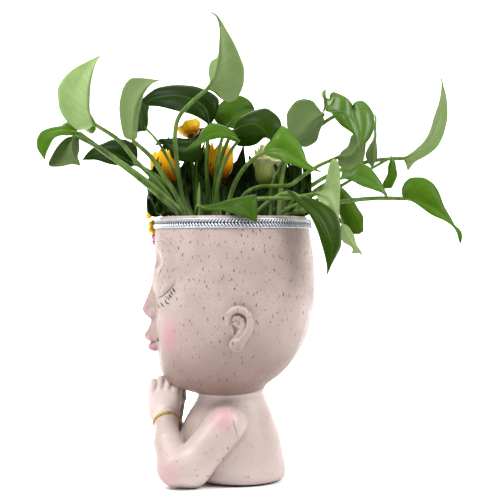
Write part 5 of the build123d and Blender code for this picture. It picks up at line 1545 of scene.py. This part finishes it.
d = (-0.10, -0.20, 1.0)
bloom("flower_orange_front", "blossom_orange_front", "orange_petal", ORANGE, down((-36.5, -52.0, 284.0), d, 17.0), 13.0, 33.0, d,
      [(7, 0.98, 0.96, dict(top=0.84, point=0.34)), (6, 0.80, 1.0, dict(top=0.8, point=0.4)), (5, 0.58, 0.93, dict(top=0.8, point=0.45)),
       (4, 0.34, 0.9, dict(top=0.9, point=0.5))], 11, ribs=0.55, base=0.42, belly=0.5)
d = (-0.10, 0.0, 1.0)
bloom("flower_orange_side", "blossom_orange_side", "orange_petal", ORANGE, down((-73.4, -3.2, 289.0), d, 16.5), 13.2, 33.0, d,
      [(9, 0.98, 1.04, dict(top=1.04, point=0.42)), (8, 0.80, 1.08, dict(top=1.0, point=0.5)), (6, 0.58, 0.97, dict(top=0.9, point=0.5)),
       (5, 0.34, 0.9, dict(top=0.9, point=0.5))], 12, ribs=0.6, base=0.40, belly=0.45)
d = (-0.10, 0.06, 1.0)
bloom("flower_cream_back", "blossom_cream_back", "cream_petal", CREAM, down((-68.6, 45.9, 287.0), d, 21.0), 14.6, 42.0, d,
      [(7, 1.0, 0.62, dict(top=1.22, point=0.16, belly=0.8)), (7, 0.88, 0.84, dict(top=1.18, point=0.16, belly=0.8)),
       (6, 0.74, 0.98, dict(top=1.14, point=0.16)), (6, 0.52, 1.0, dict(top=1.15, point=0.16)), (4, 0.3, 0.97, dict(top=1.2, point=0.2))],
      13, ribs=0.12, base=0.42)
d = (-0.5, -0.4, 0.8)
bloom("flower_yellow_top", "blossom_yellow_top", "yellow_petal", YELLOW, down((-60.0, -29.5, 320.0), d, 6.0), 8.4, 11.5, d,
      [(6, 1.0, 0.86, dict(top=1.25, point=0.22)), (6, 0.74, 1.0, dict(top=1.2, point=0.2)), (4, 0.42, 1.05, dict(top=1.3, point=0.2))],
      14, ribs=0.9, base=0.45, belly=0.6, curl=0.5, thick=1.6)


def ball(soup, c, r, axes=None, rough=0.0, seed=0, n=16, **values):
    """A rounded lump with its own small bumps."""
    a = np.linspace(0, PI, n)[1:-1]
    b = np.linspace(0, 2 * PI, 2 * n, endpoint=False)
    D = np.concatenate([[[0, 0, 1.0]], np.stack([np.sin(a)[:, None] * np.cos(b), np.sin(a)[:, None] * np.sin(b), np.cos(a)[:, None] + 0 * b], -1).reshape(-1, 3), [[0, 0, -1.0]]])
    rnd = np.random.default_rng(seed)
    f = np.ones(len(D))
    for _ in range(14):
        k = rnd.normal(size=3) * 7.0
        f += rough * np.sin(D @ k + rnd.random() * 6) / 3.7
    V = D * np.asarray(r, float) * f[:, None]
    if axes is not None:
        V = V @ axes
    m, k = len(a), 2 * n
    i, j = np.meshgrid(np.arange(m - 1), np.arange(k), indexing="ij")
    Q = np.stack([1 + i * k + j, 1 + (i + 1) * k + j, 1 + (i + 1) * k + (j + 1) % k, 1 + i * k + (j + 1) % k], -1).reshape(-1, 4)
    last = 1 + m * k
    poly = [[0, 1 + j, 1 + (j + 1) % k] for j in range(k)] + [[last, 1 + (m - 1) * k + (j + 1) % k, 1 + (m - 1) * k + j] for j in range(k)]
    soup.add(np.asarray(c, float) + V, Q, poly, **{q: (v(D, f) if callable(v) else v) for q, v in values.items()})


def round_flower(name, node, slot, mat, centre, r, direction, petals, seed, turn=0.0):
    """A small thick flower: rounded petals pressed against the head round a button."""
    A = axes_of(direction)
    soup = Soup("u", "v")
    C = np.asarray(centre, float)
    for k in range(petals):
        a = turn + 2 * PI * k / petals
        out = math.cos(a) * A[0] + math.sin(a) * A[1]
        side = np.cross(A[2], out)
        ax = np.stack([unit(out + 0.25 * A[2]), side, np.cross(unit(out + 0.25 * A[2]), side)])
        ball(soup, C + out * r * 0.54 + A[2] * 0.2, (r * 0.46, r * 0.40, r * 0.30), ax, 0.05, seed + k, 12,
             u=lambda D, f: 0.45 + 0.55 * np.clip(D[:, 0], -0.6, 1), v=lambda D, f: D[:, 1])
    ball(soup, C + A[2] * r * 0.14, (r * 0.34, r * 0.34, r * 0.30), A, 0.08, seed + 9, 12, u=lambda D, f: 0.25 + 0.3 * D[:, 2], v=0.3)
    return soup.make(name, mat, "planter", node, slot)


round_flower("flower_yellow_brow", "blossom_yellow_brow", "yellow_petal", YELLOW, (-12.0, -62.5, 242.5), 9.2, (0.25, -1.0, 0.35), 5, 21, 0.3)
round_flower("flower_yellow_low", "blossom_yellow_low", "yellow_petal", YELLOW, (-21.0, -62.0, 227.0), 7.0, (-0.45, -1.0, 0.0), 5, 31, 0.9)
soup = Soup("u", "v")
A = axes_of((-0.5, -1.0, -0.1))
for k, (dz, r) in enumerate(((2.6, 4.3), (-2.6, 3.9))):
    # The hollows between the bud's bumps take the petal's darker base colour: painted shade.
    ball(soup, (-24.8, -59.0 + 0.5 * k, 215.7 + dz), (r, r, r * 0.8), A, 0.16, 41 + k, 20,
         u=lambda D, f: np.clip((f - 0.86) * 3.2, 0, 1), v=lambda D, f: D[:, 0] * 2)
for k in range(26):
    rnd = np.random.default_rng(60 + k)
    q = unit(rnd.normal(size=3) + np.array([-0.3, -0.9, 0.0]))
    dz, r = ((2.6, 4.1), (-2.6, 3.7))[k % 2]
    ball(soup, np.array([-24.8, -59.0, 215.7 + dz]) + q * r * 0.92, 0.85, None, 0.0, k, 7, u=0.75 + 0.25 * rnd.random(), v=0.0)
soup.make("pink_bud", PINK, "planter", "bud_pink", "pink_petal")


def resin_green():
    m = Mat("dark_green_resin")
    tone, s = m.attr("tone"), m.attr("vein_s")
    col = m.mix(tone, lin((12, 30, 2)), lin((70, 102, 20)))
    col = m.mix(m.map(m.noise(130.0, 3.0), 0.35, 0.68, 0.0, 0.5), col, lin((20, 32, 6)))
    col = m.mix(m.math("MULTIPLY", m.map(s, 0.08, 0.02), 0.5), col, lin((70, 92, 48)))
    n = m.bump(m.noise(600.0, 3.0), 0.0006, 0.4)
    return m.set(color=col, rough=m.map(m.noise(60.0), 0.3, 0.7, 0.38, 0.55), normal=n, spec=0.14)


def ring_at(phi, radius=64.0, z=238.9):
    """A place on the garland's stalk; the angle runs from the brow round the right side."""
    a = math.radians(phi)
    return np.array([-radius * math.sin(a), 12.4 - radius * math.cos(a), z])


def resin_leaf(soup, foot, tip, half, out, tone, seed):
    foot, tip = np.asarray(foot, float), np.asarray(tip, float)
    L = np.linalg.norm(tip - foot)
    ex = (tip - foot) / L
    ez = unit(out - ex * (out @ ex))
    ey = np.cross(ez, ex)
    V, Q, vs, vt, under = blade(L, half * 2, L * 0.10, fl=16, fr=16, droop=0.3, drop=0.16, wave=0.5, outline=LANCE,
                                rows=18, cols=5, thick=1.1, phase=seed, rib=0.4, veins=6.0)
    soup.add(foot + V[:, :1] * ex + V[:, 1:2] * ey + V[:, 2:3] * ez, Q, tone=tone, vein_s=vs)


SPRIGS = [
    ((4.0, -51.2, 239.5), (17.0, -56.5, 248.5), 5.0), ((-24.0, -49.0, 240.0), (-42.0, -66.0, 258.0), 8.5),
    ((-38.0, -40.0, 240.0), (-58.0, -54.0, 264.0), 9.5), ((-46.0, -32.0, 240.0), (-72.0, -34.0, 268.0), 10.0),
    ((-58.0, -16.0, 240.0), (-84.0, -14.0, 262.0), 10.0), ((-61.0, 6.0, 240.0), (-78.0, 20.0, 278.0), 11.0),
    ((-62.0, 22.0, 240.0), (-84.0, 34.0, 262.0), 10.0), ((-56.0, 42.0, 240.0), (-74.0, 58.0, 258.0), 9.0),
    ((-46.0, -34.0, 241.0), (-66.0, -44.0, 288.0), 10.0), ((-54.0, -22.0, 241.0), (-77.0, -20.0, 290.0), 11.0),
    ((-60.0, -8.0, 241.0), (-81.0, 14.0, 292.0), 10.0), ((-62.0, 14.0, 241.0), (-81.0, 30.0, 290.0), 11.0),
    ((-58.0, 34.0, 241.0), (-77.0, 52.0, 284.0), 10.0), ((-49.0, -30.0, 241.0), (-66.0, -28.0, 297.0), 9.0),
    ((-38.0, 62.0, 240.0), (-50.0, 80.0, 258.0), 8.5), ((-64.0, -31.0, 303.0), (-64.0, -18.0, 322.0), 6.0),
]
soup = Soup("tone", "vein_s")
rnd = np.random.default_rng(8)
for k, (foot, tip, half) in enumerate(SPRIGS):
    out = np.array([foot[0], foot[1] - 12.4, 26.0])
    resin_leaf(soup, foot, tip, half, out, rnd.uniform(0.1, 0.8), k)
for k in range(110):
    phi = -4.0 + 172.0 * (k + rnd.uniform(0.2, 0.8)) / 110
    foot = ring_at(phi, rnd.uniform(62.6, 65.5), rnd.uniform(237.6, 240.6))
    away = unit(ring_at(phi) - np.array([0, 12.4, 238.9]))
    along = np.array([-away[1], away[0], 0.0])
    high = rnd.uniform(16, 58) * (0.45 if phi < 12 or phi > 158 else 1.0)
    tip = foot + away * rnd.uniform(4, 17) + along * rnd.uniform(-13, 13) + np.array([0, 0, high])
    if 26 < phi < 150 and k % 3 == 0:
        tip[2] += 14.0
    tip[0], tip[1] = max(tip[0], -85.5), min(max(tip[1], -66.5), 81.5)
    resin_leaf(soup, foot, tip, rnd.uniform(6.5, 10.5), away + np.array([0, 0, rnd.uniform(0.0, 0.8)]), rnd.uniform(0.0, 1.0) ** 1.6, k + 30)
# Two strands twisted round each other along the stalk.
phis = np.linspace(-10, 170, 200)
for k in (0.0, PI):
    f = np.radians(phis) * 26 + k
    P = np.array([ring_at(p, 64.0 + 1.25 * math.cos(q), 238.9 + 1.25 * math.sin(q)) for p, q in zip(phis, f)])
    sv, sq, sp = sweep(P, 1.55, 9)
    soup.add(sv, sq, sp, tone=0.35, vein_s=1.0)
for centre, direction, h in (((-36.5, -52.0, 284.0), (-0.1, -0.2, 1.0), 17.0), ((-73.4, -3.2, 289.0), (-0.1, 0.0, 1.0), 16.5),
                             ((-66.6, 46.9, 285.0), (-0.1, 0.06, 1.0), 20.0), ((-60.0, -29.5, 320.0), (-0.5, -0.4, 0.8), 6.0)):
    c = down(centre, direction, h - 1.0)
    flat = unit(np.array([centre[0], centre[1] - 12.4, 0.0])) * 64.0
    foot = np.array([flat[0], flat[1] + 12.4, 238.9])
    bend = (foot + c) / 2 + np.array([0.0, 0.0, 1.0]) + unit(flat) * 2.5
    P = arc_through(foot, bend, c, 20)
    sv, sq, sp = sweep(P, np.linspace(2.4, 1.8, 20), 10)
    soup.add(sv, sq, sp, tone=0.5, vein_s=1.0)
    # sepals under the flower
    A = axes_of(direction)
    for q in range(5):
        a = 2 * PI * q / 5 + h
        o = math.cos(a) * A[0] + math.sin(a) * A[1]
        size = 11.0 if h > 10 else 6.0
        resin_leaf(soup, c + o * 1.0 - A[2] * 0.5, c + o * size * 0.72 + A[2] * size * 0.75, size * 0.26, o - A[2] * 0.3, 0.6, q)
GARLAND = soup.make("garland_leaves", resin_green(), "planter", "garland_foliage", "dark_green_paint")
weld(GARLAND)

# ---- base, pad and plug ---------------------------------------------------------------------------


def repaint(node, mat):
    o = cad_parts[node]
    o.data.materials.clear()
    o.data.materials.append(mat)


def plain(name, dark, light, rough, scale, depth):
    m = Mat(name)
    col = m.mix(m.map(m.noise(scale, 4.0, 0.6), 0.32, 0.68), lin(dark), lin(light))
    col = m.mix(m.map(m.voronoi(scale * 6), 0.05, 0.22, 0.35, 0.0), col, lin(dark))
    r = m.map(m.noise(scale * 2.5, 3.0), 0.3, 0.7, rough - 0.08, rough + 0.08)
    return m.set(color=col, rough=r, normal=m.bump(m.noise(scale * 8, 4.0), depth, 0.4), spec=0.35)


repaint("base_plate", plain("bare_cast_resin", (196, 180, 166), (224, 210, 198), 0.6, 60.0, 0.0006))
repaint("base_pad", plain("foam_pad", (52, 52, 54), (74, 74, 76), 0.85, 420.0, 0.0008))
repaint("drain_plug", plain("plug_rubber", (30, 30, 31), (50, 50, 52), 0.55, 180.0, 0.0003))

# ---- soil ----------------------------------------------------------------------------------


def soil_material():
    m = Mat("potting_soil")
    col = m.mix(m.map(m.noise(260.0, 5.0, 0.7), 0.35, 0.65), lin((30, 21, 15)), lin((74, 55, 40)))
    col = m.mix(m.map(m.voronoi(620.0), 0.02, 0.16, 0.5, 0.0), col, lin((112, 88, 62)))
    col = m.mix(m.attr("pale"), col, lin((206, 200, 188)))
    n = m.bump(m.noise(520.0, 5.0, 0.7), 0.0011, 0.9)
    return m.set(color=col, rough=0.92, normal=n, spec=0.2)


def soil():
    rows = [(87.4, 1.5, 33.2, 35.2), (95, 1.8, 43.0, 45.6), (105, 4.7, 49.6, 53.4),
            (120, 9.6, 55.0, 56.8), (135, 12.2, 57.6, 57.8), (222.0, 12.4, 58.0, 58.0)]
    rows = np.array(rows)
    soup = Soup("pale")
    na = 150
    a = np.linspace(0, 2 * PI, na, endpoint=False)
    zs = np.linspace(87.4, 220.6, 64)
    rings = []
    rnd = np.random.default_rng(5)
    bumps = rnd.normal(size=(len(zs), na))
    for _ in range(2):
        bumps = (bumps + np.roll(bumps, 1, 1) + np.roll(bumps, -1, 1)) / 3
        bumps[1:-1] = (bumps[1:-1] + bumps[2:] + bumps[:-2]) / 3
    for z, bb in zip(zs, bumps):
        yc, d, w = (np.interp(z, rows[:, 0], rows[:, k]) for k in (1, 2, 3))
        s = 1.0 - 0.006 + np.minimum(bb, 0.4) * 0.012
        rings.append(np.stack([w * s * np.cos(a), yc + d * s * np.sin(a), np.full(na, z)], 1))
    grow = [0.985, 0.93, 0.86, 0.78, 0.70, 0.61, 0.52, 0.43, 0.33, 0.23, 0.13]
    top = rnd.normal(size=(len(grow), na))
    for _ in range(3):
        top = (top + np.roll(top, 1, 1) + np.roll(top, -1, 1)) / 3
    for g, bb in zip(grow, top):
        rings.append(np.stack([57.6 * g * np.cos(a), 12.4 + 57.6 * g * np.sin(a), 221.6 - 0.8 * (g > 0.95) + 1.1 * bb + 0.5 * np.cos(g * 9)], 1))
    V = np.concatenate(rings)
    n = len(rings)
    i, j = np.meshgrid(np.arange(n - 1), np.arange(na), indexing="ij")
    Q = np.stack([i * na + j, i * na + (j + 1) % na, (i + 1) * na + (j + 1) % na, (i + 1) * na + j], -1).reshape(-1, 4)
    soup.add(V, Q, [list(range(na))[::-1], [(n - 1) * na + k for k in range(na)]])
    # Clods and grains of perlite on top.
    ico = bpy.data.meshes.new("grain")
    import bmesh
    b = bmesh.new()
    bmesh.ops.create_icosphere(b, subdivisions=2, radius=1.0)
    b.to_mesh(ico)
    b.free()
    gv = np.array([v.co for v in ico.vertices])
    gf = [list(p.vertices) for p in ico.polygons]
    bpy.data.meshes.remove(ico)
    for k in range(420):
        rr, th = 56.0 * math.sqrt(rnd.random()), rnd.random() * 2 * PI
        pale = 1.0 if rnd.random() < 0.13 else 0.0
        size = rnd.uniform(0.9, 2.0) if pale else rnd.uniform(0.8, 2.9)
        s = size * rnd.uniform(0.6, 1.2, 3)
        lump = 1 + 0.22 * np.sin(gv @ rnd.normal(size=3) * 4.0 + rnd.random() * 6)[:, None]
        at = np.array([rr * math.cos(th), 12.4 + rr * math.sin(th), 221.6 + size * 0.25])
        soup.v.append(gv * s * lump + at)
        soup.p += [[q + soup.n for q in p] for p in gf]
        soup.a["pale"].append(np.full(len(gv), pale))
        soup.n += len(gv)
    soup.make("soil_mix", soil_material(), "plant", "potting_soil", "soil")


soil()

# ---- stage -------------------------------------------------------------------------------


def stage():
    """A pale floor that rises behind the object in one curve."""
    x = np.concatenate([np.linspace(2.6, -0.9, 12)[:-1], -0.9 - 1.3 * np.sin(np.linspace(0, PI / 2, 16))])
    z = np.concatenate([np.zeros(11), 1.3 * (1 - np.cos(np.linspace(0, PI / 2, 16)))])
    x, z = np.append(x, -2.2), np.append(z, 4.0)
    ys = np.linspace(-4.0, 4.0, 9)
    v = np.array([[a, y, b - 0.0002] for a, b in zip(x, z) for y in ys])
    n, m = len(x), len(ys)
    f = [[i * m + j, (i + 1) * m + j, (i + 1) * m + j + 1, i * m + j + 1] for i in range(n - 1) for j in range(m - 1)]
    me = bpy.data.meshes.new("floor")
    me.from_pydata(v.tolist(), [], f)
    me.polygons.foreach_set("use_smooth", np.ones(len(f), bool))
    o = bpy.data.objects.new("floor", me)
    bpy.context.scene.collection.objects.link(o)
    w = Mat("pale_floor")
    col = w.mix(w.noise(3.0), lin((243, 243, 243)), lin((247, 247, 247)))
    me.materials.append(w.set(color=col, rough=0.9, spec=0.1))
    o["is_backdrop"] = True


stage()
bpy.context.scene.view_settings.view_transform = "Standard"
world = bpy.data.worlds.new("studio")
bpy.context.scene.world = world
world.use_nodes = True
world.node_tree.nodes["Background"].inputs["Color"].default_value = (1.0, 1.0, 1.0, 1.0)
world.node_tree.nodes["Background"].inputs["Strength"].default_value = 0.30
area("key", (0.5, -0.95, 1.5), (0.0, 0.0, 0.24), 0.8, 30.0)
area("back", (0.35, 1.25, 1.35), (0.0, 0.0, 0.24), 0.9, 29.0)
area("front", (0.6, -1.3, 0.5), (0.0, 0.0, 0.1), 0.6, 3.5)
area("top", (0.1, 0.0, 2.0), (0.0, 0.0, 0.2), 1.4, 12.0)
area("backdrop", (-0.7, 0.0, 1.2), (-2.2, 0.0, 0.6), 2.0, 75.0)

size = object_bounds()
